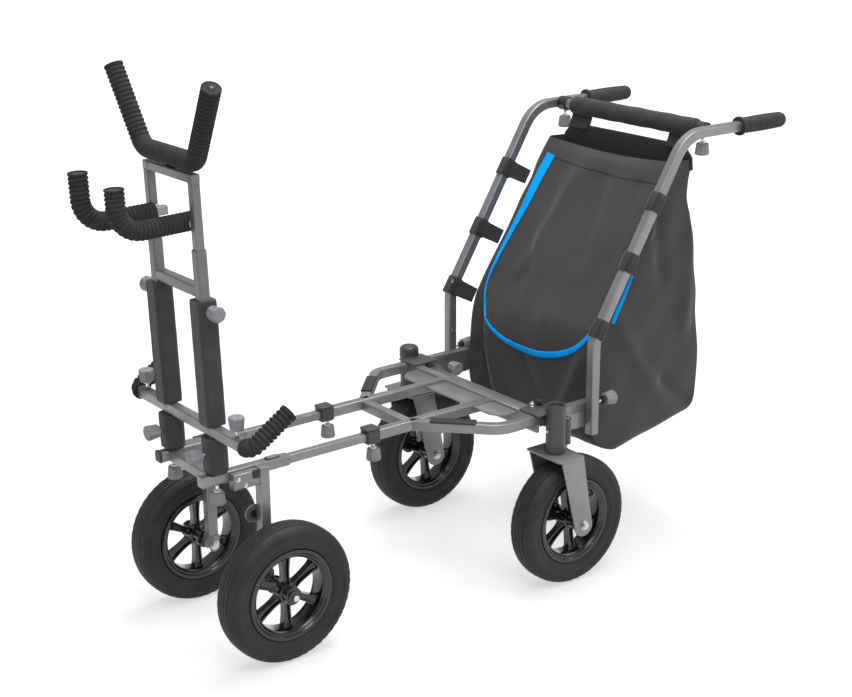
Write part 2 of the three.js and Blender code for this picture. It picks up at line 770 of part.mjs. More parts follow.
// Hooks: a bar that runs forward beside the leg and turns up, with a ribbed sleeve from just ahead of the leg.
for (const [side, s] of sides) {
  const at = [0, s * hookY, hookHeight];
  const bar = new BentLine([[hookBack, 0, 0], [-hookReach, 0, 0], [-hookReach, 0, hookRise]], [hookBend], [0, 1, 0], 6);
  add(`hook_bar_${side}`, squareSweep(bar, innerTube, innerTube - tubeWall * 2), steel, mast, at);
  const line = new BentLine([[-hookFoamStart, 0, 0], [-hookReach, 0, 0], [-hookReach, 0, hookRise + overrun]],
    [hookBend], [0, 1, 0], 6);
  add(`hook_sleeve_${side}`, ribbedSleeve(line, ribPitch, ribCrest, ribValley, ribBore), foam, mast, at);
}

// Forked rest on top: base across the mast and two spread arms, turning on a bolt.
const restHeight = innerTop + restWasherHeight + gap + ribCrest;
const restCorners = (drop) => [
  [0, -restBaseHalf - restArmSpread + drop * Math.sin(rad(restArmAngle)), restArmRise - drop * Math.cos(rad(restArmAngle))],
  [0, -restBaseHalf, 0],
  [0, restBaseHalf, 0],
  [0, restBaseHalf + restArmSpread - drop * Math.sin(rad(restArmAngle)), restArmRise - drop * Math.cos(rad(restArmAngle))],
];
const restArmAngle = Math.atan2(restArmSpread, restArmRise) * 180 / Math.PI;
const restTurn = [0, -rad(restLean), 0];
{
  const at = [0, 0, restHeight];
  const bar = new BentLine(restCorners(overrun), [restBend, restBend], [1, 0, 0], 5);
  const bolt = rod([0, 0, -ribCrest - restWasherHeight], [0, 0, 0], restBoltRadius, 10);
  add("rest_bar", join([squareSweep(bar, innerTube, 0), bolt]), steel, mast, at, restTurn);
  const line = new BentLine(restCorners(0), [restBend, restBend], [1, 0, 0], 5);
  const sleeve = ribbedSleeve(line, restRibPitch, ribCrest, ribValley, ribBore);
  const boltHole = rod([0, 0, -ribCrest - overrun], [0, 0, 0], restBoltRadius + fit, 10);
  add("rest_sleeve", cut(sleeve, [boltHole]), foam, mast, at, restTurn);
}

// Side arms: a bar that slides in the arm bar, turns rearward and rises, with a coarse ribbed sleeve.
for (const [side, s] of sides) {
  const lane = armFoamStart + armStraight + armBend;
  const at = [0, 0, armBarHeight];
  const bar = new BentLine([[0, s * armInner, 0], [0, s * lane, 0], [armRun - overrun, s * lane, armRise * (1 - overrun / armRun)]],
    [armBend], [0, 0, 1], 6);
  add(`arm_bar_${side}`, squareSweep(bar, innerTube, 0), steel, mast, at);
  const line = new BentLine([[0, s * armFoamStart, 0], [0, s * lane, 0], [armRun, s * lane, armRise]],
    [armBend], [0, 0, 1], 6);
  add(`arm_sleeve_${side}`, ribbedSleeve(line, armRibPitch, armCrest, armValley, armBore), foam, mast, at);
}

// Push handle: bent posts, rubber grips, crossbar and the hanging bag.
const postLean = Math.atan2(gripBendX - postX, gripHeight - postBendHeight);
for (const [side, s] of sides) {
  const y = s * postY;
  const line = new BentLine([[postX, y, postBottom], [postX, y, postBendHeight], [gripBendX, y, gripHeight],
    [gripStart + gripFlangeLength, y, gripHeight]], [postLowerBend, postUpperBend], [0, 1, 0], 6);
  const post = squareSweep(line, tube, tube - 2 * tubeWall);
  const spigot = rod([gripStart - gripNeckRadius, y, gripHeight], [postEnd, y, gripHeight], gripTubeRadius, 12);
  add(`post_${side}`, join([post, spigot]), steel);
  const gripProfile = [
    [gripTubeRadius + gap, 0],
    [gripFlangeRadius, 0],
    [gripFlangeRadius, gripFlangeLength],
    [gripNeckRadius, gripFlangeLength * 2],
    [gripRadius, gripFlangeLength * 5],
    [gripNeckRadius, (gripEnd - gripStart) / 2],
    [gripRadius, gripEnd - gripStart - gripFlangeLength * 3],
    [gripRadius * 0.9, gripEnd - gripStart],
    [0, gripEnd - gripStart],
    [0, postEnd - gripStart + gap],
    [gripTubeRadius + gap, postEnd - gripStart + gap],
    [gripTubeRadius + gap, 0],
  ];
  const seat = gripStart + gripFlangeLength + gap;
  const grip = cut(turned(gripProfile, 16).rotateY(Math.PI / 2).translate(gripStart, y, gripHeight), [
    block(gripStart - overrun, seat, y - half - gap, y + half + gap, gripHeight - half - gap, gripHeight + half + gap)]);
  add(`grip_${side}`, grip, rubber);
}

const crossbarHalf = postY - half - gap;
function crossbar() {
  const parts = [rod([crossbarX, -crossbarHalf, gripHeight], [crossbarX, crossbarHalf, gripHeight], crossbarRadius, 16)];
  for (const [, s] of sides) {
    const inner = crossbarHalf - crossbarClampLength;
    parts.push(rod([crossbarX, s * inner, gripHeight], [crossbarX, s * crossbarHalf, gripHeight], crossbarClampRadius, 16));
  }
  return join(parts);
}
add("crossbar", crossbar(), steel);

// Bag: a hollow body with its mouth at the top, hung from a sleeve round the crossbar by two straps,
// and tied to the posts by three straps a side.
function bagOutline(inset) {
  const i = inset;
  return [
    [bagFrontX + i, bagFrontLowZ],
    [bagBottomFrontX + i, bagBottomZ + i],
    [bagRearBottomX - i, bagBottomZ + i],
    [bagRearX - i, bagBottomZ + (bagRearX - bagRearBottomX) * 1.5 + i],
    [bagRearTopX - i, bagTopRearZ - i],
    [bagTopFrontX + i, bagTopFrontZ - i],
    [bagFrontBendX + i, bagFrontBendZ],
    [bagFrontX + i, bagFrontBendZ - (bagFrontBendX - bagFrontX) * 2],
  ];
}
function bag() {
  const parts = [sidePlate(bagOutline(0).reverse(), -bagHalf, bagHalf)];
  const sleeveHalf = crossbarHalf - crossbarClampLength - gap;
  parts.push(rod([crossbarX, -sleeveHalf, gripHeight], [crossbarX, sleeveHalf, gripHeight], bagSleeveRadius, 20));
  for (const [, s] of sides) {
    const y0 = s * bagStrapStart;
    const y1 = s * bagStrapEnd;
    const x1 = bagRearTopX;
    const t = bagStrapThickness;
    parts.push(sidePlate([[x1 - t * 1.5, bagTopRearZ - t], [x1, bagTopRearZ - t], [crossbarX + t, gripHeight - t],
      [crossbarX - t, gripHeight - t]].reverse(), Math.min(y0, y1), Math.max(y0, y1)));
    for (const h of tieHeights) {
      const x = postX + (h - postBendHeight) * Math.tan(postLean);
      const o = half + gap + tieThickness;
      const yIn = s * (bagHalf - bagWall);
      const yOut = s * (postY + o);
      const ring = block(-o, o, Math.min(yIn, yOut), Math.max(yIn, yOut), -tieWidth / 2, tieWidth / 2);
      parts.push(ring.rotateY(postLean).translate(x, 0, h));
      const tab = block(-tieThickness / 2 - gap, tube * 3, Math.min(s * (bagHalf - bagWall), s * (bagHalf + overrun)),
        Math.max(s * (bagHalf - bagWall), s * (bagHalf + overrun)), -tieWidth / 2, tieWidth / 2);
      parts.push(tab.rotateY(postLean).translate(x, 0, h));
    }
  }
  const tools = [sidePlate(bagOutline(bagWall).reverse(), -bagHalf + bagWall, bagHalf - bagWall)];
  tools.push(rod([crossbarX, -sleeveHalf - overrun, gripHeight], [crossbarX, sleeveHalf + overrun, gripHeight],
    crossbarRadius + gap, 16));
  const mouthX = bagTopFrontX + bagWall;
  tools.push(block(mouthX, mouthX + bagMouth, -bagHalf + 3 * bagWall, bagHalf - 3 * bagWall,
    bagTopFrontZ - 4 * bagWall, bagTopRearZ + overrun));
  for (const [, s] of sides) {
    for (const h of tieHeights) {
      const x = postX + (h - postBendHeight) * Math.tan(postLean);
      const o = half + gap;
      const y0 = s * (bagHalf + overrun * 2);
      const y1 = s * (postY + o);
      tools.push(block(-o, o, Math.min(y0, y1), Math.max(y0, y1), -tieWidth, tieWidth).rotateY(postLean).translate(x, 0, h));
    }
  }
  return cut(join(parts), tools);
}
add("bag", bag(), cloth);

// Knobs. Each hangs on a screw whose tip meets the tube that it clamps.
const quarter = Math.PI / 2;
for (const [side, s] of sides) {
  const y = s * railY;
  const toSide = [-s * quarter, 0, 0];
  const collarBottom = deckMid - innerHalf - gap;
  const screwToFoam = upperFoamWidth / 2 - half + 4 * screwRadius;
  add(`knob_mast_top_${side}`, knob(knobRadius, knobLength, screwToFoam, false), knobGrey, mast,
    [0, s * (railY + half + gap), topKnobHeight], toSide);
  add(`knob_mast_low_${side}`, knob(knobRadius, knobLength, lowerFoamWidth / 2 - half + 4 * screwRadius, false), knobGrey,
    mast, [-half - gap, y, lowKnobHeight], [0, -quarter, 0]);
  add(`knob_arm_${side}`, knob(knobRadius, knobLength, 5 * screwRadius, false), knobGrey, mast,
    [0, s * (armBarHalf - half), armBarHeight + half + gap]);
  add(`knob_rail_${side}`, knob(knobRadius, knobLength, 6 * screwRadius, false), knobGrey, trolley,
    [railFront - collarSeat / 2, y, collarBottom], [Math.PI, 0, 0]);
  add(`knob_foot_${side}`, knob(knobRadius, knobLength, 5 * screwRadius, false), knobGrey, trolley,
    [mastX, y, deckBottom - gap], [Math.PI, 0, 0]);
  add(`knob_handle_${side}`, knob(knobRadius, knobLength, 4 * screwRadius, false), knobGrey, trolley,
    [crossbarX, s * (crossbarHalf - crossbarClampLength / 2), gripHeight - crossbarClampRadius - gap], [Math.PI, 0, 0]);
  add(`knob_post_${side}`, knob(bigKnobRadius, bigKnobLength, 5 * screwRadius, true), knobGrey, trolley,
    [postX + half + gap, s * postY, deckTop - gap], [0, quarter, 0]);
  add(`knob_plate_${side}`, knob(bigKnobRadius, bigKnobLength, 2 * screwRadius, true), knobGrey, trolley,
    [(plateStart + postX) / 2, s * (bowY - half - gap), deckTop - plateDepth / 2], [s * quarter, 0, 0]);
}

// The origin lies on the ground under the middle of the whole trolley.
const bounds = new THREE.Box3().setFromObject(trolley);
trolley.position.x = -(bounds.min.x + bounds.max.x) / 2;

export default trolley;
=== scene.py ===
import bpy
import math
import numpy as np
from mathutils import Matrix, Vector


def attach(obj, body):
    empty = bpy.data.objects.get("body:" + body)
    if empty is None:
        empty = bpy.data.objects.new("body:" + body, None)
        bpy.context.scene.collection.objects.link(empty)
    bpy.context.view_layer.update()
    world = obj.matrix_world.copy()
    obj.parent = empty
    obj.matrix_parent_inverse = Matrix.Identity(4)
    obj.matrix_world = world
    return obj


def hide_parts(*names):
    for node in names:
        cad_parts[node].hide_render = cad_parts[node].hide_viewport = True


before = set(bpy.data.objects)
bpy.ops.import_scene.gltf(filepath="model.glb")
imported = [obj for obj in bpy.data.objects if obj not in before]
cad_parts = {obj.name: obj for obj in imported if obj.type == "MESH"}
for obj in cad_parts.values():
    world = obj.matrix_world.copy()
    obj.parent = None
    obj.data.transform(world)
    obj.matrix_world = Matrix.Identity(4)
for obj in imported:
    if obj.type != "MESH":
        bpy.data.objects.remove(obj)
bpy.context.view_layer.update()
print("frame loaded with", len(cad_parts), "nodes")

# Lengths are millimetres from the front axle: x towards the handle, y to the right, z up from the ground.
axleX = 474.893
deckTop, deckMid = 351.0, 341.0
tubeSize, innerSize, tubeWall = 20.0, 16.0, 1.6
railY, bowY, postY = 76.0, 202.0, 222.3
wheelRadius, trackHalf = 130.0, 158.0
kingpinX, kingpinY, trail = 574.0, 232.5, 35.0
mastX, mastLean = -80.0, math.radians(1.8)
crossbarX, handleZ = 978.0, 850.0
sides = (("left", -1), ("right", 1))
sealed = (False, False)  # a tube whose two ends are shut
upZ = np.array([0.0, 0.0, 1.0])
alongX = np.array([1.0, 0.0, 0.0])
alongY = np.array([0.0, 1.0, 0.0])


# Place in metres, angles in degrees, focal length in pixels of a frame this wide, sensor in millimetres.
cameraSet = {"place": (-1.84936, -2.36342, 1.42967), "azimuth": -37.5257, "elevation": 18.139,
             "roll": -0.3241, "focalPixels": 1609.37, "framePixels": 852, "sensor": 36.0}


def placeCamera(s):
    # back points from the scene to the lens; right and up are turned about it by the roll
    a, e, r = (math.radians(s[k]) for k in ("azimuth", "elevation", "roll"))
    back = Vector((math.sin(a) * math.cos(e), -math.cos(a) * math.cos(e), math.sin(e)))
    right = Vector((math.cos(a), math.sin(a), 0.0))
    up = back.cross(right)
    across = right * math.cos(r) + up * math.sin(r)
    above = up * math.cos(r) - right * math.sin(r)
    data = bpy.data.cameras.new("camera")
    data.sensor_fit = "HORIZONTAL"
    data.sensor_width = s["sensor"]
    data.lens = s["sensor"] * s["focalPixels"] / s["framePixels"]
    data.clip_end = 100.0
    view = bpy.data.objects.new("camera", data)
    view.matrix_world = Matrix.Translation(s["place"]) @ Matrix((across, above, back)).transposed().to_4x4()
    bpy.context.scene.collection.objects.link(view)
    bpy.context.scene.camera = view


placeCamera(cameraSet)
bpy.context.scene.view_settings.view_transform = "Standard"
print("camera placed")


def linear(hexColour):
    # sRGB to linear light: the low part is a straight line, the rest a power of 2.4
    c = np.array([int(hexColour[i:i + 2], 16) for i in (0, 2, 4)]) / 255.0
    c = np.where(c <= 0.04045, c / 12.92, ((c + 0.055) / 1.055) ** 2.4)
    return (*c.tolist(), 1.0)


def addNode(tree, kind, inputs=None, **settings):
    # adds one shader node, sets its options, and fills its inputs with values or links
    node = tree.nodes.new("ShaderNode" + kind)
    for key, value in settings.items():
        setattr(node, key, value)
    for key, value in (inputs or {}).items():
        if isinstance(value, bpy.types.NodeSocket):
            tree.links.new(value, node.inputs[key])
        else:
            node.inputs[key].default_value = value
    return node


def emptyTree(owner):
    # the node tree of a material or world, with nothing in it
    owner.use_nodes = True
    owner.node_tree.nodes.clear()
    return owner.node_tree


def addCoat(tree, s, share, rough, height, distance):
    # base colour = first + share x (second - first); the slope of height x distance x strength tilts the normal
    mixed = addNode(tree, "Mix", {0: share, 6: linear(s["colour"]), 7: linear(s["second"])},
                    data_type="RGBA")
    bump = addNode(tree, "Bump", {"Height": height, "Strength": s["bump"], "Distance": distance})
    shader = addNode(tree, "BsdfPrincipled", {
        "Base Color": mixed.outputs[2], "Roughness": rough, "Metallic": s.get("metal", 0.0),
        "Normal": bump.outputs[0], **s.get("sockets", {})})
    addNode(tree, "OutputMaterial", {"Surface": shader.outputs[0]})


def grainMaterial(name, s):
    # two close colours mixed by a soft noise, a roughness that wanders, and a fine grain as bump
    material = bpy.data.materials.new(name)
    tree = emptyTree(material)
    place = addNode(tree, "TexCoord").outputs["Object"]
    blotch = addNode(tree, "TexNoise", {"Vector": place, "Scale": 1000 / s["blotchMm"], "Detail": 3.0})
    grain = addNode(tree, "TexNoise", {"Vector": place, "Scale": 1000 / s["grainMm"], "Detail": 2.0})
    share = addNode(tree, "MapRange", {"Value": blotch.outputs[0], 1: 0.35, 2: 0.65})
    rough = addNode(tree, "MapRange", {"Value": grain.outputs[0], 1: 0.3, 2: 0.7,
                                                 3: s["rough"][0], 4: s["rough"][1]})
    addCoat(tree, s, share.outputs[0], rough.outputs[0], grain.outputs[0], s["grainMm"] * 0.0004)
    return material


def clothMaterial(name, s):
    # warp and weft are two crossed waves on the piece's own map, which is in metres; a slow noise fades the dye
    material = bpy.data.materials.new(name)
    tree = emptyTree(material)
    place = addNode(tree, "TexCoord").outputs
    # a wave's phase is 20 x scale x place, so one thread takes a scale of 1000 x 2 pi / 20 over its width
    scale = 314.159 / s["threadMm"]
    warp, weft = (addNode(tree, "TexWave", {"Vector": place["UV"], "Scale": scale * share,
                                                      "Distortion": 0.3}, bands_direction=way)
                  for way, share in (("X", 1.0), ("Y", s["weftShare"])))
    both = addNode(tree, "Math", {0: warp.outputs["Fac"], 1: weft.outputs["Fac"]}, operation="ADD")
    blotch = addNode(tree, "TexNoise", {"Vector": place["Object"], "Scale": 1000 / s["blotchMm"],
                                                  "Detail": 4.0})
    share = addNode(tree, "Math", {0: both.outputs[0], 1: 0.25, 2: blotch.outputs[0]},
                    operation="MULTIPLY_ADD")
    share = addNode(tree, "MapRange", {"Value": share.outputs[0], 1: 0.45, 2: 1.0})
    addCoat(tree, s, share.outputs[0], s["rough"], both.outputs[0], s["threadMm"] * 0.0003)
    return material


coat = {"colour": "868385", "second": "8f8d8f", "blotchMm": 60, "grainMm": 1.1, "rough": (0.3, 0.42), "bump": 0.12,
        "metal": 0.55}
# Powder coat with metal flake over steel: satin, faint orange peel about a millimetre wide.
powderCoat = grainMaterial("powder_coat_grey", coat)
# The same coat darkened as painted shade, on the mast and its inner frame, whose upright faces catch more of the key
# light.
mastCoatPaintedShade = grainMaterial("powder_coat_mast_painted_shade", {
    **coat, "colour": "747173", "second": "7c797b", "rough": (0.32, 0.44), "metal": 0.5})
# The darkest batch, on the swivel housings, the front axles' nuts and the rest's end discs.
darkCoat = grainMaterial("powder_coat_dark", {
    **coat, "colour": "4a4648", "second": "524e50", "blotchMm": 40, "grainMm": 1.0, "rough": (0.34, 0.46),
    "metal": 0.35})
# Glass filled nylon of the knobs, moulded in a spark eroded tool: dull with a fine grit.
knobNylon = grainMaterial("moulded_nylon_grey", {
    "colour": "86838a", "second": "929097", "blotchMm": 12, "grainMm": 0.8, "rough": (0.42, 0.58), "bump": 0.25})
# Black polypropylene of plugs, caps, pads, clamps and clips, moulded, slightly shiny.
blackPlastic = grainMaterial("moulded_polypropylene_black", {
    "colour": "1f1f20", "second": "29292a", "blotchMm": 15, "grainMm": 0.9, "rough": (0.36, 0.5), "bump": 0.2})
# EVA foam sleeves: closed cells, matt; the real foam greys at the crests where hands rub it, here two close greys are
# mixed by a soft noise.
evaFoam = grainMaterial("eva_foam_black", {
    "colour": "2d2a2b", "second": "393536", "blotchMm": 25, "grainMm": 1.4, "rough": (0.74, 0.92), "bump": 0.5,
    "sockets": {"Specular IOR Level": 0.3}})
# The same foam in the square sleeves of the mast, with a skin that shows a sheen.
evaSmooth = grainMaterial("eva_foam_grey", {
    "colour": "2a282a", "second": "343234", "blotchMm": 30, "grainMm": 1.3, "rough": (0.66, 0.86), "bump": 0.45,
    "sockets": {"Sheen Weight": 0.2, "Sheen Roughness": 0.6}})
# Brown grey glass filled nylon of the deck rails' collars.
collarNylon = grainMaterial("moulded_nylon_dark", {
    "colour": "3c3638", "second": "474143", "blotchMm": 14, "grainMm": 0.9, "rough": (0.38, 0.52), "bump": 0.2})
# Vulcanised tyre rubber with road dust in the grain.
tyreRubber = grainMaterial("tyre_rubber", {
    "colour": "282425", "second": "332e2f", "blotchMm": 35, "grainMm": 1.6, "rough": (0.5, 0.72), "bump": 0.3,
    "sockets": {"Specular IOR Level": 0.35}})
# Rims of glossy black nylon, polished tool.
rimNylon = grainMaterial("glossy_nylon_black", {
    "colour": "0c0c0d", "second": "121213", "blotchMm": 30, "grainMm": 2.5, "rough": (0.14, 0.24), "bump": 0.05,
    "sockets": {"Coat Weight": 0.3, "Coat Roughness": 0.1}})
# Bright zinc on screws, washers and nuts.
zincPlate = grainMaterial("zinc_plated_steel", {
    "colour": "c3c4c6", "second": "d2d3d6", "blotchMm": 6, "grainMm": 0.7, "rough": (0.16, 0.3), "bump": 0.1,
    "metal": 1.0})
# Soft rubber of the hand grips, moulded with ribs.
gripRubber = grainMaterial("grip_rubber", {
    "colour": "252324", "second": "2e2c2d", "blotchMm": 20, "grainMm": 1.2, "rough": (0.6, 0.78), "bump": 0.3})
# Bag cloth: coated polyester in plain weave, 0.8 mm threads drawn at 1.6 mm so that they show.
bagCloth = clothMaterial("woven_polyester_charcoal", {
    "colour": "2d2a2c", "second": "363335", "blotchMm": 120, "threadMm": 1.6, "weftShare": 1.0, "bump": 0.35,
    "rough": 0.7, "sockets": {"Sheen Weight": 0.25, "Sheen Roughness": 0.4}})
# Black cloth with a foam backing: the yoke, the lining and the bar sleeve.
blackCloth = clothMaterial("woven_polyester_black", {
    "colour": "1f1f20", "second": "29292a", "blotchMm": 80, "threadMm": 1.6, "weftShare": 1.0, "bump": 0.35,
    "rough": 0.78, "sockets": {"Sheen Weight": 0.2, "Sheen Roughness": 0.4}})
# Polyester webbing and hook and loop straps: ribs across, 2 mm apart.
webbing = clothMaterial("hook_and_loop_webbing", {
    "colour": "1c1b1c", "second": "272627", "blotchMm": 30, "threadMm": 1.4, "weftShare": 1.0, "bump": 0.3,
    "rough": 0.85, "sockets": {"Sheen Weight": 0.3, "Sheen Roughness": 0.5}})
# Blue grosgrain binding along the pocket.
blueBinding = clothMaterial("grosgrain_binding_blue", {
    "colour": "0099f6", "second": "00a8ff", "blotchMm": 40, "threadMm": 1.2, "weftShare": 2.0, "bump": 0.3,
    "rough": 0.75, "sockets": {"Specular IOR Level": 0.12}})
print("materials made")


def toScene(points):
    # millimetres in the axle frame to metres in the scene
    return (np.asarray(points, float) - (axleX, 0.0, 0.0)) * 0.001


def onMast(points):
    # mast height and depth turned by the lean, and set on the deck line above the sleeves
    p = np.asarray(points, float)
    c, s = math.cos(mastLean), math.sin(mastLean)
    return np.stack([mastX + p[..., 0] * c - p[..., 2] * s, p[..., 1], deckTop + p[..., 0] * s + p[..., 2] * c], -1)


def unit(v):
    # v divided by its length, for one vector or for each of a list
    v = np.asarray(v, float)
    return v / np.linalg.norm(v, axis=-1, keepdims=True)


def gridFaces(rows, cols, wrapRows=False):
    # quads between neighbours of a grid whose columns close on themselves
    r = np.arange(rows if wrapRows else rows - 1)[:, None]
    c = np.arange(cols)[None, :]
    d, e = (r + 1) % rows, (c + 1) % cols
    return np.stack([r * cols + c, r * cols + e, d * cols + e, d * cols + c], -1).reshape(-1, 4)


def closedBody(grid, look, wrapRows=False, uv=None):
    # rings of points made one body, its ends shut by flat faces, turned outward by the sign of its volume
    grid = np.asarray(grid, float)
    rows, cols = grid.shape[:2]
    faces = [gridFaces(rows, cols, wrapRows)]
    if not wrapRows:
        faces += [np.arange(cols)[None, ::-1], (rows - 1) * cols + np.arange(cols)[None, :]]
    v = grid.reshape(-1, 3)
    m = v - v.mean(0)
    volume = sum(np.einsum("ij,ij->", m[f[:, 0]], np.cross(m[f[:, k]], m[f[:, k + 1]]))
                 for f in faces for k in range(1, f.shape[1] - 1))
    if volume < 0:
        faces = [f[:, ::-1] for f in faces]
    return v, faces, look, None if uv is None else uv.reshape(-1, 2)


def clothMap(run, across):
    # one place on the weave for each point of a grid, in metres, from its two lengths in millimetres
    return np.stack(np.broadcast_arrays(run, across), -1) * 0.001


def roundedRect(width, height, corner, steps=3, edge=0.5):
    # a rectangle whose corners are arcs, with one extra point close to each arc so that the flats stay flat
    t = np.linspace(0, math.pi / 2, steps + 1)
    arc = np.vstack([[corner, -edge], np.stack([np.cos(t), np.sin(t)], 1) * corner, [-edge, corner]])
    turn = np.array([[0.0, 1.0], [-1.0, 0.0]])
    centre = np.array([width / 2 - corner, height / 2 - corner])
    quarters = enumerate(((1, 1), (-1, 1), (-1, -1), (1, -1)))
    return np.vstack([arc @ np.linalg.matrix_power(turn, k) + centre * signs for k, signs in quarters])


def roundRing(radius, count):
    # radius x (cos t, sin t) at even steps of t
    t = np.linspace(0, 2 * math.pi, count, endpoint=False)
    return np.stack([np.cos(t), np.sin(t)], 1) * radius


def cornerArc(before, corner, after, radius, steps):
    # the arc that touches both runs at a corner: centre + (sin((1 - t) w) first + sin(t w) last) / sin w
    a, b = unit(before - corner), unit(after - corner)
    h = math.acos(np.clip(a @ b, -1, 1)) / 2
    centre = corner + unit(a + b) * radius / math.sin(h)
    first, last = (corner + v * radius / math.tan(h) - centre for v in (a, b))
    w = math.pi - 2 * h
    t = np.linspace(0, 1, steps + 1)[:, None]
    return centre + (np.sin((1 - t) * w) * first + np.sin(t * w) * last) / math.sin(w)


def bentPath(corners, bends, steps=10):
    # straight runs joined by arcs that touch both runs
    c = np.asarray(corners, float)
    arcs = [cornerArc(*c[i - 1:i + 2], bends[i - 1], steps) for i in range(1, len(c) - 1)]
    return np.vstack([c[0], *arcs, c[-1]])


def roundedOutline(corners, radii, steps=6):
    # a polygon whose corners are arcs; a corner of radius zero stays a point
    c = np.asarray(corners, float)
    n = len(c)
    r = np.broadcast_to(radii, n)
    return np.vstack([cornerArc(c[i - 1], c[i], c[(i + 1) % n], r[i], steps) if r[i] > 0 else c[i] for i in range(n)])


def roundedBox(x0, x1, y0, y1, radii):
    # the rectangle between two corners, rounded; its corners count from (x0, y0) over (x1, y0)
    return roundedOutline([(x0, y0), (x1, y0), (x1, y1), (x0, y1)], radii)


def acrossLine(x, half, z):
    # the two ends of a bar from side to side: (x, -half, z) and (x, half, z)
    return [(x, -half, z), (x, half, z)]


def runLengths(path):
    # the distance along a path at each of its points: the sum of the steps up to there
    steps = np.linalg.norm(np.diff(np.asarray(path, float), axis=0), axis=1)
    return np.concatenate([[0], np.cumsum(steps)])


def carried(path, side, profile, stations=None, scale=None):
    # point = place on the path + scale x (profile x along the side direction + profile y square to it and to the path)
    path, side = np.asarray(path, float), np.asarray(side, float)
    lengths = runLengths(path)
    steps = unit(np.diff(path, axis=0))
    ahead = unit(np.vstack([steps[0], steps[1:] + steps[:-1], steps[-1]]))
    if stations is None:
        stations = lengths
    scale = np.ones(len(stations)) if scale is None else np.asarray(scale, float)
    place, t = (np.stack([np.interp(stations, lengths, row) for row in rows.T], 1) for rows in (path, ahead))
    t = unit(t)
    across = unit(side - t * (t @ side)[:, None])
    above = np.cross(t, across)
    p = profile if profile.ndim == 3 else np.repeat(profile[None], len(stations), 0)
    p = p * (scale[:, None, None] if scale.ndim == 1 else scale[:, None, :])
    return place[:, None] + p[:, :, :1] * across[:, None] + p[:, :, 1:] * above[:, None]


def withEnds(head, middle, tail, total):
    # stations and scales from pairs: the head's distances count from the start, the tail's back from the end
    return np.array([*head, *middle, *((total - a, b) for a, b in tail)], float).T


def squareTube(path, side, size, look, corner=3.0, ends=(True, True), height=None):
    # a rounded square carried along a path; an open end turns in over its wall and goes down the bore
    height = height or size
    lengths = runLengths(path)
    total = lengths[-1]
    inner = 1 - 2 * tubeWall / min(size, height)
    kinds = {True: [(12, inner), (0.4, inner), (0, inner + 0.03), (0, 0.975), (0.5, 1)],
             False: [(0, 0.93), (0.35, 0.975), (1, 1)]}
    middle = [(x, 1) for x in lengths[1:-1] if 1.5 < x < total - 1.5]
    rings = withEnds(kinds[ends[0]], middle, kinds[ends[1]][::-1], total)
    return closedBody(carried(path, side, roundedRect(size, height, corner), *rings), look)


def plug(at, ahead, side, size, look, reach=3.0):
    # a pillow shaped end cap on a square tube
    h = np.array([-4, -0.2, -0.1, reach * 0.5, reach * 0.85, reach])
    s = np.array([0.8, 0.8, 1.0, 1.0, 0.94, 0.74])
    path = np.asarray(at, float) + h[:, None] * unit(ahead)
    return closedBody(carried(path[[0, -1]], side, roundedRect(size, size, 3.0), h - h[0], s), look)


def turnedBody(profile, at, axis, look, segments=32, swell=None, closed=False):
    # radius and height turned round an axis; swell multiplies the radius by angle and height
    p = np.asarray(profile, float)
    axis = unit(axis)
    a = unit(np.cross(upZ if abs(axis[2]) < 0.9 else alongX, axis))
    t = np.linspace(0, 2 * math.pi, segments, endpoint=False)
    ring = np.cos(t)[:, None] * a + np.sin(t)[:, None] * np.cross(axis, a)
    radius = p[:, :1] * (np.ones((1, segments)) if swell is None else swell(t, p[:, 1]))
    grid = np.asarray(at, float) + radius[:, :, None] * ring[None] + p[:, 1, None, None] * axis
    return closedBody(grid, look, closed)


def rod(a, b, radius, look, segments=20, edge=0.6):
    # a round bar from a to b; both rims are cut at 45 degrees by the edge, at most 0.4 of the radius or the length
    a, b = np.asarray(a, float), np.asarray(b, float)
    n = np.linalg.norm(b - a)
    e = min(edge, radius * 0.4, n * 0.4)
    return turnedBody([(radius - e, 0), (radius, e), (radius, n - e), (radius - e, n)], a, b - a, look, segments)


def inset(outline, d):
    # every corner moved inward along the middle of its two edge normals
    o = np.asarray(outline, float)
    after, before = np.roll(o, -1, 0), np.roll(o, 1, 0)
    area = np.sum(o[:, 0] * after[:, 1] - after[:, 0] * o[:, 1])
    turn = np.array([[0, -1], [1, 0]]) * (1 if area > 0 else -1)
    n1, n2 = unit(after - o) @ turn.T, unit(o - before) @ turn.T
    m = n1 + n2
    m /= np.maximum(1e-6, (m * n1).sum(1, keepdims=True))
    return o + np.clip(m, -2, 2) * d


def plate(outline, at, u, v, thickness, look, edge=0.8):
    # a flat outline with a thickness, its rims eased; u and v carry the outline, their cross product the thickness
    u, v = unit(u), unit(v)
    w = np.cross(u, v)
    low = [(edge, 0), (edge * 0.3, edge * 0.3), (0, edge)]
    rings = [(inset(outline, d), h) for d, h in low + [(d, thickness - h) for d, h in low[::-1]]]
    return closedBody([np.asarray(at, float) + o[:, :1] * u + o[:, 1:] * v + h * w for o, h in rings], look)


def hexNut(at, axis, radius, height, washer=1.35, stud=0.0, look=zincPlate):
    # a washer, a six sided nut with eased tips, and the screw end that shows through it
    w = 1.2
    top = w + height
    r = radius * 0.52
    rows = [([(radius * washer - 0.4, 0), (radius * washer, 0.4), (radius * washer, w), (1, w)], 28),
            ([(radius * 0.9, w), (radius, w + 0.8), (radius, top - 1.2), (radius * 0.82, top)], 6)]
    if stud:
        rows.append(([(r, top - 0.5), (r, top + stud - 1), (r * 0.75, top + stud)], 16))
    return [turnedBody(profile, at, axis, look, count) for profile, count in rows]


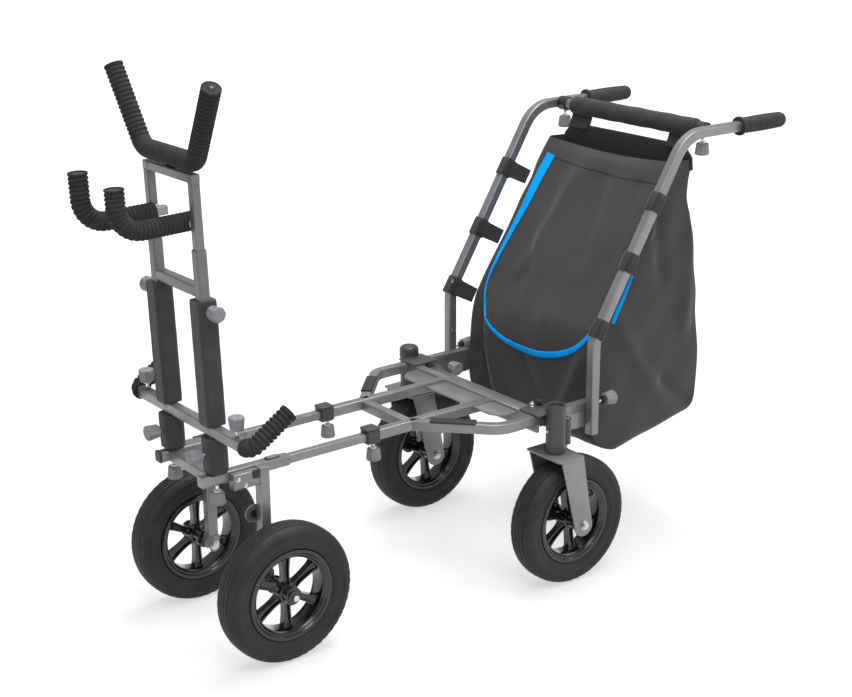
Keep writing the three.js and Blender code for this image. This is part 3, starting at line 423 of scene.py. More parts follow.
def makePiece(name, parts, body, nodes=(), sharp=38.0):
    # all parts in one mesh at its place in the frame, smooth where faces meet at less than the sharp angle
    flat = []
    for part in parts:
        flat.extend(part if isinstance(part, list) else [part])
    looks = []
    start, verts, loops, sizes, indices, maps = 0, [], [], [], [], []
    for v, faces, look, uv in flat:
        verts.append(v)
        for k, f in enumerate(faces):
            own = look[k] if isinstance(look, list) else look
            if own not in looks:
                looks.append(own)
            loops.append((f + start).ravel())
            sizes.append(np.full(len(f), f.shape[1]))
            indices.append(np.full(len(f), looks.index(own)))
            maps.append(np.zeros((f.size, 2)) if uv is None else uv[f.ravel()])
        start += len(v)
    verts, loops = toScene(np.vstack(verts)), np.concatenate(loops)
    sizes, indices = np.concatenate(sizes), np.concatenate(indices)
    mesh = bpy.data.meshes.new(name)
    mesh.vertices.add(len(verts))
    mesh.vertices.foreach_set("co", verts.ravel())
    mesh.loops.add(len(loops))
    mesh.loops.foreach_set("vertex_index", loops)
    mesh.polygons.add(len(sizes))
    mesh.polygons.foreach_set("loop_start", np.concatenate([[0], np.cumsum(sizes)[:-1]]))
    mesh.update(calc_edges=True)
    for look in looks:
        mesh.materials.append(look)
    mesh.polygons.foreach_set("material_index", indices)
    layer = mesh.uv_layers.new(name="cloth")
    layer.data.foreach_set("uv", np.vstack(maps).ravel())
    mesh.validate()
    mesh.shade_smooth()
    mesh.set_sharp_from_angle(angle=math.radians(sharp))
    piece = bpy.data.objects.new(name, mesh)
    bpy.context.scene.collection.objects.link(piece)
    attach(piece, body)
    if nodes:
        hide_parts(*nodes)
    return piece


wheelSet = {"tyreSegments": 144, "rimSegments": 96, "hubSegments": 48, "notches": 48, "notchDepth": 0.011,
            "spokes": 6, "spokeTurn": {"front": 30.0, "rear": 37.0}, "hubRadius": 19.0, "hubHalf": 38.0,
            "hubOut": {"front": 28.0, "rear": 38.0}}


def tyreBody(at):
    # turned section with bead, two raised rings and a shallow tread; notches pull the shoulder in by angle
    half = [(87.0, 21.5), (88.5, 23.5), (94.0, 25.5), (95.4, 26.7), (97.2, 27.0), (98.6, 26.6), (104.0, 28.0),
            (110.0, 29.0), (111.0, 29.9), (112.6, 30.0), (113.8, 29.3), (118.0, 29.2), (121.0, 28.0), (122.0, 26.4),
            (123.6, 25.8), (125.6, 23.2), (127.6, 19.0), (128.8, 15.0), (127.5, 14.2), (127.5, 13.4), (129.3, 12.6),
            (129.8, 8.0), (129.9, 5.4), (128.5, 4.8), (128.5, 4.0), (130.0, 3.2)]
    section = half + [(r, -w) for r, w in half[::-1]]

    def swell(t, h):
        # 1 - bell of the distance from the shoulder at 24.5 mm x depth, where cos(notches x t) > 0.55
        edge = np.exp(-((np.abs(h) - 24.5) / 2.2) ** 2)[:, None]
        return 1 - edge * (np.cos(t * wheelSet["notches"])[None, :] > 0.55) * wheelSet["notchDepth"]
    return turnedBody(section, at, alongY, tyreRubber, wheelSet["tyreSegments"], swell, closed=True)


def rimBodies(at, row):
    # a stepped ring, six channelled spokes carried outward, and a hub with end caps
    s = wheelSet
    half = [(69.0, 0.0), (69.1, 12.0), (70.0, 16.5), (72.6, 18.0), (74.4, 20.6), (77.4, 21.2), (79.6, 23.4),
            (83.0, 24.0), (85.6, 23.6), (86.6, 22.0), (86.7, 10.0)]
    section = half + [(r, -w) for r, w in half[::-1] if w]
    out = [turnedBody(section, at, alongY, rimNylon, s["rimSegments"], closed=True)]
    # Each spoke is a row of sections along its radius: half width, height and the depth of its two channels.
    r = np.array([14.0, 22.0, 30.0, 42.0, 54.0, 64.0, 72.0])
    w = np.array([7.6, 6.6, 6.2, 6.8, 7.8, 8.8, 10.2])
    deep = np.array([2.0, 4.2, 4.2, 4.2, 4.2, 3.0, 0.5])
    h = np.array([9.5, 8.2, 7.2, 6.8, 6.8, 7.4, 9.0])
    quarter = [(w, h), (w * 0.62, h), (w * 0.5, h - deep)]
    upper = quarter + [(-a, b) for a, b in quarter[::-1]]
    section = np.stack([np.stack(p, 1) for p in upper + [(-a, -b) for a, b in upper]], 1)
    for i in range(s["spokes"]):
        a = math.radians(s["spokeTurn"][row] + 360 / s["spokes"] * i)
        d = np.array([math.cos(a), 0, math.sin(a)])
        path = np.asarray(at, float) + r[:, None] * d
        out.append(closedBody(carried(path, np.cross(alongY, d), section), rimNylon))
    n, q, m = s["hubHalf"], s["hubRadius"], s["hubOut"][row]
    hub = [(7.0, -n), (q - 3.4, -n), (q - 2.2, -n + 1.0), (q - 2.2, -n + 5), (q - 5, -n + 7), (q - 4, -14), (q, -12),
           (q, 12), (q - 4, 14), (q - 5, m - 7), (q - 2.2, m - 5), (q - 2.2, m - 1.0), (q - 3.4, m), (7.0, m)]
    out.append(turnedBody(hub, at, alongY * np.sign(at[1]), rimNylon, s["hubSegments"]))
    return out


for side, s in sides:
    for row, x, y in (("front", 0, trackHalf), ("rear", kingpinX + trail, kingpinY)):
        at, wheel = (x, s * y, wheelRadius), f"wheel_{row}_{side}"
        makePiece(f"tyre_{row}_{side}_rubber", [tyreBody(at)], wheel, [f"tyre_{row}_{side}"])
        makePiece(f"rim_{row}_{side}_nylon", rimBodies(at, row), wheel, [f"rim_{row}_{side}"], 30)
print("wheels made")


knobSet = {"lobes": 8, "flute": 0.1, "segments": 96, "radius": 14.4, "length": 23.6, "bigLength": 24.0,
           "bigCollar": 7.0}


def knobBodies(tip, axis, screw, big=False):
    # a tapered drum, widest at its free end; shallow flutes follow a raised cosine of the angle and fade at the crown
    k = knobSet
    n = k["bigLength"] if big else k["length"]
    tip, axis = np.asarray(tip, float), unit(axis)
    base = screw + (k["bigCollar"] if big else 0.0)
    out = [rod(tip, tip + axis * (base + 1), 3.0, zincPlate, 16, 0.5)]
    if big:
        collar = [(4, screw - 0.5), (8.0, screw), (8.0, base), (4, base + 0.5)]
        out.append(turnedBody(collar, tip, axis, blackPlastic, 28))
    else:
        collar = [(3, base - 3.2), (6.4, base - 3.0), (6.8, base - 2), (6.8, base + 0.4), (3, base + 0.5)]
        out.append(turnedBody(collar, tip, axis, zincPlate, 24))
    h = np.array([0, 0, 0.8, 3, 0.5 * n, n - 4.5, n - 2.2, n - 0.8, n - 0.1, n, n - 0.5])
    q = np.array([0.3, 0.76, 0.83, 0.87, 0.93, 1.0, 0.99, 0.93, 0.82, 0.55, 0.3]) * k["radius"]

    def swell(t, z):
        # 1 - depth x (half of 1 - cos(lobes x t)) cubed, with a depth that fades within 3 and 4 mm of the ends
        depth = np.clip(np.minimum((z - base) / 3, (base + n + 0.4 - z) / 4), 0, 1)[:, None] * k["flute"]
        return 1 - depth * (0.5 - 0.5 * np.cos(t * k["lobes"]))[None, :] ** 3
    out.append(turnedBody(np.stack([q, h + base], 1), tip, axis, knobNylon, k["segments"], swell))
    return out


for side, s in sides:
    y = s * railY
    mastUp, mastAhead = (onMast(v) - onMast([0, 0, 0]) for v in ([0, 0, 1], [-1, 0, 0]))
    # each knob's screw tip, axis, free length of its screw, and whether it is of the longer kind
    knobs = {
        "mast_top": (onMast([0, s * (railY + 10.3), 301.0]), (0, s, 0), 17.25, False),
        "mast_low": (onMast([-10.3, y, 41.0]), mastAhead, 18.0, False),
        "arm": (onMast([0, s * 158.0, 91.3]), mastUp, 15.0, False),
        "rail": ((257.0, y, 332.7), -upZ, 18.0, False),
        "foot": ((mastX, y, 330.7), -upZ, 15.0, False),
        "handle": ((crossbarX, s * 201.0, 834.7), -upZ, 12.0, False),
        "post": ((688.3, s * postY, 350.7), alongX, 15.0, True),
        "plate": ((646.0, s * 191.7, 325.5), (0, -s, 0), 6.0, True)}
    for name, (tip, axis, screw, big) in knobs.items():
        makePiece(f"knob_{name}_{side}_fluted", knobBodies(tip, axis, screw, big), f"knob_{name}_{side}",
                  [f"knob_{name}_{side}"], 45)
print("knobs made")


deckSet = {"railStart": 262.0, "crossFront": 340.0, "crossRear": 550.0, "beamX": (548.0, 609.0), "beamHalf": 210.0,
           "beamZ": 326.0, "beamThick": 4.8, "apron": (490, 541, -160, 160), "apronZ": 342.8, "bowStart": 344.0,
           "bowCorner": 463.0, "bowEnd": 706.0, "bowBend": 46.0, "plateStart": 614.0, "plateLow": 300.0}


def weldBead(a, b, radius=1.7):
    # thickness = (0.86 + 0.14 cos(2 pi length / 2.4)) x root of 6 sin(pi t), as a weld's ripples and its ends
    length = runLengths([a, b])[-1]
    t = np.linspace(0, 1, max(8, int(length / 0.8)) + 1)
    swell = (0.86 + 0.14 * np.cos(t * length / 2.4 * 2 * math.pi)) * np.sqrt(np.clip(np.sin(t * math.pi) * 6, 0.02, 1))
    side = upZ if abs(b[2] - a[2]) < 0.9 * length else alongX
    return closedBody(carried([a, b], side, roundRing(radius, 8), t * length, swell), powderCoat)


def deckParts():
    # two cross tubes, two rails mirrored by s, their welds, the beam plate with its front lip, and the apron plate
    d = deckSet
    front, rear = d["crossFront"], d["crossRear"]
    out = [squareTube(acrossLine(rear, bowY - 10.3, deckMid), upZ, tubeSize, powderCoat),
           squareTube(acrossLine(front, railY - 9, deckMid), upZ, tubeSize, powderCoat, ends=sealed)]
    for _, s in sides:
        y = s * railY
        rail = [(d["railStart"], y, deckMid), (rear - 9, y, deckMid)]
        out.append(squareTube(rail, upZ, tubeSize, powderCoat, ends=(True, False)))
        for x, reach in ((front - 10, 0), (front + 10, 0), (rear - 10, 9.6)):
            out.append(weldBead((x, y - s * 9, deckTop - 0.6), (x, y - s * 10.4, deckMid - 9)))
            out.append(weldBead((x, y - s * 9.6, deckTop - 0.2), (x, y + s * reach, deckTop - 0.2), 0.9))
        out.append(weldBead((rear - 10.4, y + s * 10, deckTop - 1), (rear - 10.4, y + s * 10, deckMid - 9)))
    (x0, x1), w = d["beamX"], d["beamHalf"]
    out.append(plate(roundedBox(x0, x1, -w, w, 8), (0, 0, d["beamZ"]), alongX, alongY, d["beamThick"], powderCoat))
    out.append(plate(roundedBox(-w, w, 0, -12.5, [0, 0, 4, 4]), (x0, 0, d["beamZ"]), alongY, upZ, 4.0, powderCoat))
    out.append(plate(roundedBox(*d["apron"], [34, 0, 0, 34]), (0, 0, d["apronZ"]), alongX, alongY, 3.4, powderCoat))
    return out


makePiece("deck_frame_tubes", deckParts(), "chassis", ["deck_frame"])

for side, s in sides:
    d, y = deckSet, s * bowY
    path = bentPath([(d["bowStart"], s * railY, deckMid), (d["bowCorner"], y, deckMid), (d["bowEnd"], y, deckMid)],
                    [d["bowBend"]], 14)
    middle, tall = (deckTop + d["plateLow"]) / 2, deckTop - d["plateLow"] - 0.4
    parts = [squareTube(path, upZ, tubeSize, powderCoat, ends=(False, True)),
             squareTube([(d["plateStart"], y, middle), (d["bowEnd"] - 0.4, y, middle)], upZ, tall, powderCoat, 2.5,
                        (False, True), tubeSize - 0.4)]
    across = np.cross(unit([d["bowCorner"] - d["bowStart"], s * (bowY - railY), 0]), upZ)
    for a in (-10.2, 10.2):
        foot = np.array([d["bowStart"] + 16.04, s * (railY + 11), deckMid]) + across * a
        parts.append(weldBead(foot + (0, 0, 9), foot - (0, 0, 9)))
    parts.append(weldBead((d["plateStart"], y - s * 9, 331), (d["plateStart"], y + s * 9, 331), 1.4))
    makePiece(f"bow_{side}_tube", parts, "chassis", [f"bow_{side}"])
    # a strip of black plastic laid over the top of each bow's slanted run, from 370 to 430 mm
    line = [(370.0, s * 104.5, deckTop), (430.0, s * 168.0, deckTop)]
    n = runLengths(line)[-1]
    ends = [(0.7, 0.9), (0.9, 0.98), (1, 1)]
    pad = carried(line, upZ, roundedRect(5.0, tubeSize + 1.6, 1.6) + (0.6, 0), [0, 0, 1.5, 84, n, n], ends + ends[::-1])
    makePiece(f"bow_black_strip_{side}", [closedBody(pad, blackPlastic)], "chassis")

# Profiles are (radius, height) about the kingpin, the lock pin or the cap; web and flap are (x0, x1, z0, z1).
housingSet = {
    "tube": [(8.4, 277.4), (18.2, 277.4), (19.0, 278.2), (19.0, 349.0), (8.4, 349.4)],
    "right": [(12, 349), (19.4, 349), (20.4, 349.8), (20.4, 362.4), (19.8, 363), (19.8, 364), (20.3, 364.6),
              (19.8, 368.2), (18.0, 371.4), (15.0, 373.4), (11.0, 374), (1.5, 374.2)],
    "left": [(12, 349), (19.0, 349), (19.0, 372.8), (18.2, 374), (16.6, 374), (15.6, 372.8), (15.0, 366.4),
             (14.2, 365.6), (1.5, 365.6)],
    "lockX": kingpinX + 27, "lockTube": [(6.6, 288), (8.6, 288), (9.2, 288.7), (9.2, 340.3), (8.6, 341), (6.6, 341)],
    "pin": [(3, 277.9), (4, 278.6), (4, 334.8), (3, 335)],
    "pinHead": [(3, 334.4), (5.6, 334.4), (6, 335), (6, 340.6), (5.2, 342), (2, 342.3)],
    "web": (0, 12, 0, 44), "saddleX": (538, 598), "saddleY": (165, 223), "flap": (563, 594, 334, 354),
    "cap": [(1, 0), (6.4, 0), (6.8, 1), (6.6, 10), (5, 12), (1, 12.4)]}
collarSet = {
    "size": 27.0, "stations": [10, 1.0, 0, 0, 0.8, 26.2, 27, 27, 26.4, 25.5],
    "scale": [0.61, 0.61, 0.64, 0.93, 1, 1, 0.93, 0.77, 0.75, 0.75], "lipX": (234, 264), "lipHalf": 14, "lipZ": 353.8,
    "boss": [(3.8, 327.8), (6.6, 327.8), (7.4, 326.2), (7.4, 325.2), (3.8, 325.2)]}

for side, s in sides:
    h, y = housingSet, s * kingpinY
    at, lock = (kingpinX, y, 0), (h["lockX"], y, 0)
    parts = [turnedBody(h["tube"], at, upZ, darkCoat, 56), turnedBody(h[side], at, upZ, darkCoat, 56),
             turnedBody(h["lockTube"], lock, upZ, darkCoat, 32),
             plate(roundedBox(*h["web"], 1), (kingpinX + 16.5, y + 2, 289), alongX, upZ, 4.0, darkCoat),
             plate(roundedBox(*h["saddleX"], *(s * v for v in h["saddleY"]), 4), (0, 0, deckTop + 0.4), alongX, alongY,
                   3.0, darkCoat),
             plate(roundedBox(*h["flap"], [9, 9, 0.5, 0.5]), (0, s * 191.5 + (3 if s < 0 else 0), 0), alongX, upZ, 2.8,
                   darkCoat)]
    w = unit([-16.0, -s * 1.5, 0.0])
    parts += hexNut(w * 17.2 + (kingpinX, y, 322), w, 3.4, 2.6, 1.3)
    parts += hexNut((578, s * 188.6, 343), (0, -s, 0), 4.0, 2.4, 1.25)
    if s < 0:
        parts += hexNut((566, s * 172, 354), upZ, 6.0, 7.0, 1.4, 3.0)
        parts.append(turnedBody(h["cap"], (583, s * 174, 354), upZ, blackPlastic, 28))
    makePiece(f"swivel_housing_{side}_cap", parts, "chassis", [f"swivel_housing_{side}"])
    pin = [turnedBody(h["pin"], lock, upZ, zincPlate, 24), turnedBody(h["pinHead"], lock, upZ, zincPlate, 28)]
    makePiece(f"lock_pin_{side}_zinc", pin, f"lock_{side}", [f"lock_pin_{side}"])
    c, y = collarSet, s * railY
    shell = carried([(237, y, deckMid), (237 + c["size"], y, deckMid)], upZ, roundedRect(c["size"], c["size"], 4.0),
                    c["stations"], c["scale"])
    lip = roundedBox(*c["lipX"], y - s * c["lipHalf"], y + s * c["lipHalf"], [5, 2, 2, 5])
    parts = [closedBody(shell, collarNylon), plate(lip, (0, 0, c["lipZ"]), alongX, alongY, 4.6, collarNylon, 1.5),
             turnedBody(c["boss"], (257, y, 0), upZ, collarNylon, 28)]
    makePiece(f"collar_{side}_moulded", parts, "chassis", [f"collar_{side}"])
print("deck made")


forkSet = {"top": 277.0, "halfX": 32.0, "halfY": 49.0, "foot": 23.0, "legHalf": 28.0, "thick": 4.0}


def forkParts(s):
    # a folded strap: top plate with rounded corners and two legs that lean back to the axle;
    # the foot of a leg is an arc about the axle, (cos a, sin a) x foot
    f = forkSet
    x, y, hx, hy, thick = kingpinX, s * kingpinY, f["halfX"], f["halfY"], f["thick"]
    axle = np.array([x + trail, y, wheelRadius])
    top = roundedBox(x - hx, x + hx, y - hy, y + hy, 4)
    out = [plate(top, (0, 0, f["top"] - thick), alongX, alongY, thick - 0.2, powderCoat, 1.0)]
    a = np.radians(np.linspace(-14, -166, 15))
    foot = axle[[0, 2]] + f["foot"] * np.stack([np.cos(a), np.sin(a)], 1)
    leg = np.vstack([(x + 2 + f["legHalf"], f["top"] - 1.2), foot, (x + 2 - f["legHalf"], f["top"] - 1.2)])
    for k in (-1, 1):
        w = y + k * hy + (thick - 0.3 if k < 0 else -0.3)
        out.append(plate(leg, (0, w, 0), alongX, upZ, thick - 0.6, powderCoat, 0.9))
        out += hexNut(axle + (0, k * (hy - 0.4), 0), (0, k, 0), 8.2, 5.4, 1.16, 1.6)
        out.append(rod(axle + (0, k * 45.5, 0), axle + (0, k * 38.4, 0), 9.2, zincPlate, 24))
    out.append(rod(axle - (0, 46, 0), axle + (0, 46, 0), 5.9, zincPlate, 20))
    out.append(rod((x, y, f["top"] - 1), (x, y, 343.8), 8.0, zincPlate, 24))
    return out


for side, s in sides:
    makePiece(f"fork_{side}_folded", forkParts(s), f"swivel_{side}", [f"fork_{side}"])
print("forks made")


frontSet = {"sleeve": (-110.0, 66.0), "cross": -86.0, "carrier": (-62.0, -3.0), "carrierY": 95.6, "legY": 96.5,
            "legZ": (350.4, 126.0), "nutY": 186.3, "innerNutY": 85.6, "eye": (-14.0, 82.6, 259.0),
            "washer": [(6.4, 0), (9.4, 0), (10, 0.5), (10, 1.6), (9, 2.2), (6.4, 2.2)],
            "ring": [(5, 0), (16.4, 0), (17.2, 0.8), (17.2, 2.4), (16.4, 3.2), (5, 3.2)],
            "button": [(0.6, 3.0), (7.0, 3.0), (7.4, 3.8), (7.0, 5.0), (0.6, 5.4)]}


def frontParts():
    # a cross tube, and mirrored by s: sleeve, carrier, leg with two shoe plates, clip, latch, axle stub, nuts, welds
    f = frontSet
    x0, x1 = f["sleeve"]
    out = [squareTube(acrossLine(f["cross"], railY - 9, deckMid), upZ, tubeSize, powderCoat, ends=sealed)]
    for _, s in sides:
        y, ly, outward = s * railY, s * f["legY"], (0, s, 0)
        carrier = [(x, s * f["carrierY"], 334) for x in f["carrier"]]
        out += [squareTube([(x0, y, deckMid), (x1, y, deckMid)], upZ, tubeSize, powderCoat),
                plug((x0, y, deckMid), -alongX, upZ, 21.0, blackPlastic if s > 0 else powderCoat, 4.0),
                squareTube(carrier, alongY, 18.0, powderCoat, 3.4, sealed, 29.0),
                squareTube([(0, ly, z) for z in f["legZ"]], alongY, tubeSize, powderCoat, 2.6, sealed)]
        shoe = roundedBox(-10.6, 10.6, 150, 117, [1, 1, 9, 9])
        for w in (ly - 9.5, ly + 10.8):
            out.append(plate(shoe, (0, w, 0), alongX, upZ, 1.4, powderCoat, 0.4))
        for x, z in ((-54, 340), (-40, 326)):
            out += hexNut((x, s * 104.2, z), outward, 3.4, 2.2, 1.3)
        clip, latch = roundedBox(-14, 14, -7, 7, 3), roundedBox(-9, 9, 0, 16, [5, 5, 1, 1])
        out += [plate(clip, (34, y, deckTop - 0.4), alongX, alongY, 2.2, blackPlastic, 0.7),
                plate(clip * 0.8, (33, y, deckTop + 1.2), alongX, alongY, 1.8, powderCoat, 0.6),
                plate(latch, (-16, s * 105.2 + (2 if s < 0 else 0), 334), alongX, upZ, 2.4, blackPlastic, 0.7)]
        for a, b, radius, look in ((90, 197, 5.9, zincPlate), (106.0, 119.4, 9.4, powderCoat)):
            out.append(rod((0, s * a, wheelRadius), (0, s * b, wheelRadius), radius, look, 24))
        nut = (0, s * f["nutY"], wheelRadius)
        out += hexNut(nut, outward, 6.2, 3.2, 1.0, 1.8, darkCoat)
        out.append(turnedBody(f["washer"], nut, outward, darkCoat, 32))
        out += hexNut((0, s * f["innerNutY"], wheelRadius), (0, -s, 0), 7.6, 4.0, 1.2, 1.6)
        if s < 0:
            eye = f["eye"] * np.array([1, s, 1])
            out.append(turnedBody(f["ring"], eye, outward, powderCoat, 44))
            out.append(turnedBody(f["button"], eye, outward, blackPlastic, 28))
        out.append(weldBead((f["cross"] + 10, s * 66, deckTop - 1), (f["cross"] + 10, s * 66, deckMid - 9)))
        for x in (-10.2, 10.2):
            out.append(weldBead((x, s * 104, 319.8), (x, s * 88.5, 319.8), 1.4))
    return out


makePiece("front_frame_tubes", frontParts(), "front_end", ["front_frame"])
for side, s in sides:
    rail = squareTube([(-40, s * railY, deckMid), (360, s * railY, deckMid)], upZ, innerSize, powderCoat, 2.4)
    makePiece(f"slide_rail_{side}_tube", [rail], "front_end", [f"slide_rail_{side}"])


mastSet = {"foot": 0.7, "top": 404.0, "armBar": 81.0, "armHalf": 180.0, "upperBar": 331.0, "innerLow": 209.0,
           "innerTop": 533.0, "hook": 448.0}


def mastParts():
    # the arm bar, the upper bar, and mirrored by s an upright with two welds, all leaning by onMast
    m = mastSet
    arms = onMast(acrossLine(0, m["armHalf"], m["armBar"]))
    bar = onMast(acrossLine(0, railY - 9, m["upperBar"]))
    # the upper bar and the uprights take the coat darkened as painted shade, the arm bar the plain coat
    out = [squareTube(arms, alongX, tubeSize, powderCoat), squareTube(bar, alongX, tubeSize, mastCoatPaintedShade, ends=sealed)]
    for _, s in sides:
        upright = onMast([(0, s * railY, m["foot"]), (0, s * railY, m["top"])])
        out.append(squareTube(upright, alongY, tubeSize, mastCoatPaintedShade, ends=(False, True)))
        for z in (m["upperBar"] - 10, m["upperBar"] + 10):
            out.append(weldBead(*onMast([(-9, s * 66, z), (9, s * 66, z)]), 1.5))
    return out


makePiece("mast_frame_tubes", mastParts(), "front_end", ["mast_frame"])


foamSet = {"lower": {"low": 5.0, "high": 69.0, "width": 39.2, "corner": 12.0, "bulge": 0.5, "seam": {}},
           "upper": {"low": 92.5, "high": 317.0, "width": 37.6, "corner": 7.0, "bulge": 0.6,
                     "seam": {"left": -70.0, "right": 150.0}},
           "bore": 10.6, "seamDepth": 1.6, "seamWidth": 0.07}


def foamBlock(y, f, seam):
    # a rounded square tube of foam: radius + 0.18 and 0.12 mm waves along its length - the bulge's bell at both ends
    # - a bell across the glued seam
    low, high, width = f["low"], f["high"], f["width"]
    z = np.concatenate([[low + 3, low, low, low + 0.8], np.linspace(low + 2, high - 2, 90),
                        [high - 0.8, high, high, high - 3]])
    base = roundedRect(width, width, f["corner"], 6, 2.0)
    t = np.arctan2(base[:, 1], base[:, 0])
    reach = np.linalg.norm(base, axis=1)
    wave = (0.18 * np.sin(z / 23.0 + 1.3 * y)[:, None] * np.cos(2 * t)
            + 0.12 * np.sin(z / 9.1)[:, None] * np.sin(3 * t + 1))
    belly = f["bulge"] * np.exp(-((np.minimum(z - low, high - z)) / 6.0) ** 2)[:, None]
    r = reach + wave - belly
    if seam is not None:
        turn = np.angle(np.exp(1j * (t - math.radians(seam))))
        r = r - foamSet["seamDepth"] * np.exp(-(turn / foamSet["seamWidth"]) ** 2)
    r[[1, -2]] -= 1.2
    r[[0, -1]] = foamSet["bore"] * reach / (width / 2)
    r[[1, -2]] = np.maximum(r[[1, -2]], r[[0, -1]])
    grid = np.stack([r * np.cos(t), r * np.sin(t) + y, np.repeat(z[:, None], len(t), 1)], -1)
    return closedBody(onMast(grid), evaSmooth)


for side, s in sides:
    for level in ("lower", "upper"):
        block = foamBlock(s * railY, foamSet[level], foamSet[level]["seam"].get(side))
        makePiece(f"foam_{level}_{side}_eva", [block], "front_end", [f"foam_{level}_{side}"])


def innerParts():
    # the top bar, and mirrored by s an inner upright, the hook's bolt and two welds, all leaning by onMast
    m = mastSet
    z = m["innerTop"] - innerSize / 2
    bar = onMast(acrossLine(0, railY + 8, z))
    # the inner frame takes the coat darkened as painted shade
    out = [squareTube(bar, alongX, innerSize, mastCoatPaintedShade, 2.4, sealed)]
    for _, s in sides:
        upright = onMast([(0, s * railY, m["innerLow"]), (0, s * railY, z - 7.4)])
        out.append(squareTube(upright, alongY, innerSize, mastCoatPaintedShade, 2.4, (True, False)))
        out.append(rod(*onMast([(0, s * (railY - 8), m["hook"]), (0, s * 58.4, m["hook"])]), 9.2, zincPlate, 28))
        for x in (-8.2, 8.2):
            out.append(weldBead(*onMast([(x * 0.9, s * 68.2, z - 8), (x, s * 68.2, z + 7)]), 1.1))
    return out


makePiece("inner_frame_tubes", innerParts(), "mast_inner", ["inner_frame"])
print("mast made")


def ribbed(path, side, pitch, crest, valley, smoothSpan=None):
    # a round section carried along the path; its radius falls from crest to valley by (half of 1 + cos(2 pi s /
    # pitch)) to the power 2.2, the ribs fade inside the smooth span, and the end turns in over a lip
    total = runLengths(path)[-1]
    s = np.linspace(1.5, total - 1.5, int(total / (pitch / 8)))
    dip = (0.5 + 0.5 * np.cos(2 * math.pi * s / pitch)) ** 2.2
    if smoothSpan:
        a, b = smoothSpan
        dip *= np.clip(np.maximum((a - s) / 14, (s - b) / 14), 0.04, 1)
    head = [(0.6, valley - 4), (0.6, valley - 1.5), (0, valley - 0.6), (0, crest - 0.8), (0.7, crest - 0.2)]
    lip = [(0.7, crest + 0.2), (0, crest), (0, valley - 2), (3.0, valley - 2.6), (3.0, valley - 9)]
    rings = withEnds(head, zip(s, crest - (crest - valley) * dip), lip, total)
    return closedBody(carried(path, side, roundRing(1.0, 40), *rings), evaFoam)


hookSet = {"y": 50.0, "bend": 44.0, "ribs": (7.6, 17.0, 14.8), "left": {"reach": -131.0, "rise": 77.0, "back": 6.0},
           "right": {"reach": -144.5, "rise": 90.0, "back": -12.0},
           "plug": [(3, -5), (12.0, -4), (12.6, -2.2), (11.6, -1.2), (2, -0.8)]}

for side, s in sides:
    h, own = hookSet, hookSet[side]
    at, reach, rise = np.array([0, s * h["y"], mastSet["hook"]]), own["reach"], own["rise"]
    bar = onMast(bentPath(at + [(12, 0, 0), (reach, 0, 0), (reach, 0, rise - 4)], [h["bend"]], 14))
    makePiece(f"hook_bar_{side}_tube", [squareTube(bar, alongY, innerSize, powderCoat, 2.4, sealed)], f"hook_{side}",
              [f"hook_bar_{side}"])
    foam = onMast(bentPath(at + [(own["back"], 0, 0), (reach, 0, 0), (reach, 0, rise)], [h["bend"]], 24))
    parts = [ribbed(foam, alongY, *h["ribs"]), turnedBody(h["plug"], foam[-1], foam[-1] - foam[-2], blackPlastic, 32)]
    makePiece(f"hook_sleeve_{side}_ribbed", parts, f"hook_{side}", [f"hook_sleeve_{side}"])

restSet = {"tilt": math.radians(3.0), "up": mastSet["innerTop"] + 19.7, "ribs": (8.0, 17.0, 15.0), "smoothHalf": 96.0,
           "corners": np.array([(0, -170, 134), (0, -88, 0), (0, 88, 0), (0, 160, 134)], float), "bends": (30.0, 30.0),
           "end": [(2, -5), (12.4, -4), (13.4, -1.6), (12.8, -0.6), (6.2, -0.2), (5.6, 0.2), (1, 0.2)],
           "disc": [(1, 0.1), (3.6, 0.1), (4.0, 0.5), (3.4, 1.0), (1, 1.1)],
           "bolt": [(2, 0), (9.4, 0), (9.8, 0.4), (9.8, 1.6), (9.2, 2.1), (2, 2.1)]}


def onRest(points):
    # (x, z) turned by the fork's own tilt and raised to its base, then placed on the mast
    p = np.asarray(points, float)
    c, q = math.cos(restSet["tilt"]), math.sin(restSet["tilt"])
    up = restSet["up"] + p[..., 0] * q + p[..., 2] * c
    return onMast(np.stack([p[..., 0] * c - p[..., 2] * q, p[..., 1], up], -1))


path = onRest(bentPath(restSet["corners"], restSet["bends"], 18))
restAhead, restRise = (unit(onRest(v) - onRest([0, 0, 0])) for v in ([1, 0, 0], [0, 0, 1]))
middle = runLengths(path)[-1] / 2
span = (middle - restSet["smoothHalf"], middle + restSet["smoothHalf"])
parts = [ribbed(path, restAhead, *restSet["ribs"], span)]
for end, back in ((path[0], path[1]), (path[-1], path[-2])):
    parts.append(turnedBody(restSet["end"], end, end - back, evaFoam, 36))
    parts.append(turnedBody(restSet["disc"], end, end - back, darkCoat, 24))
makePiece("rest_sleeve_ribbed", parts, "rest", ["rest_sleeve"])
inner = onRest(bentPath(restSet["corners"] * (1, 1, 0.96), restSet["bends"], 12))
parts = [squareTube(inner, restAhead, innerSize, powderCoat, 2.4, sealed),
         rod(onRest((0, 0, -19.2)), onRest((0, 0, 0)), 4.0, blackPlastic, 20),
         turnedBody(restSet["bolt"], onRest((0, 0, -19.3)), restRise, blackPlastic, 32)]
makePiece("rest_bar_tube", parts, "rest", ["rest_bar"])

armSet = {"lane": 200.0, "start": 96.0, "foamStart": 181.5, "ahead": 79.0, "rise": 48.0, "barShare": 75 / 79,
          "bend": 17.2, "ribs": (8.6, 16.6, 13.8)}

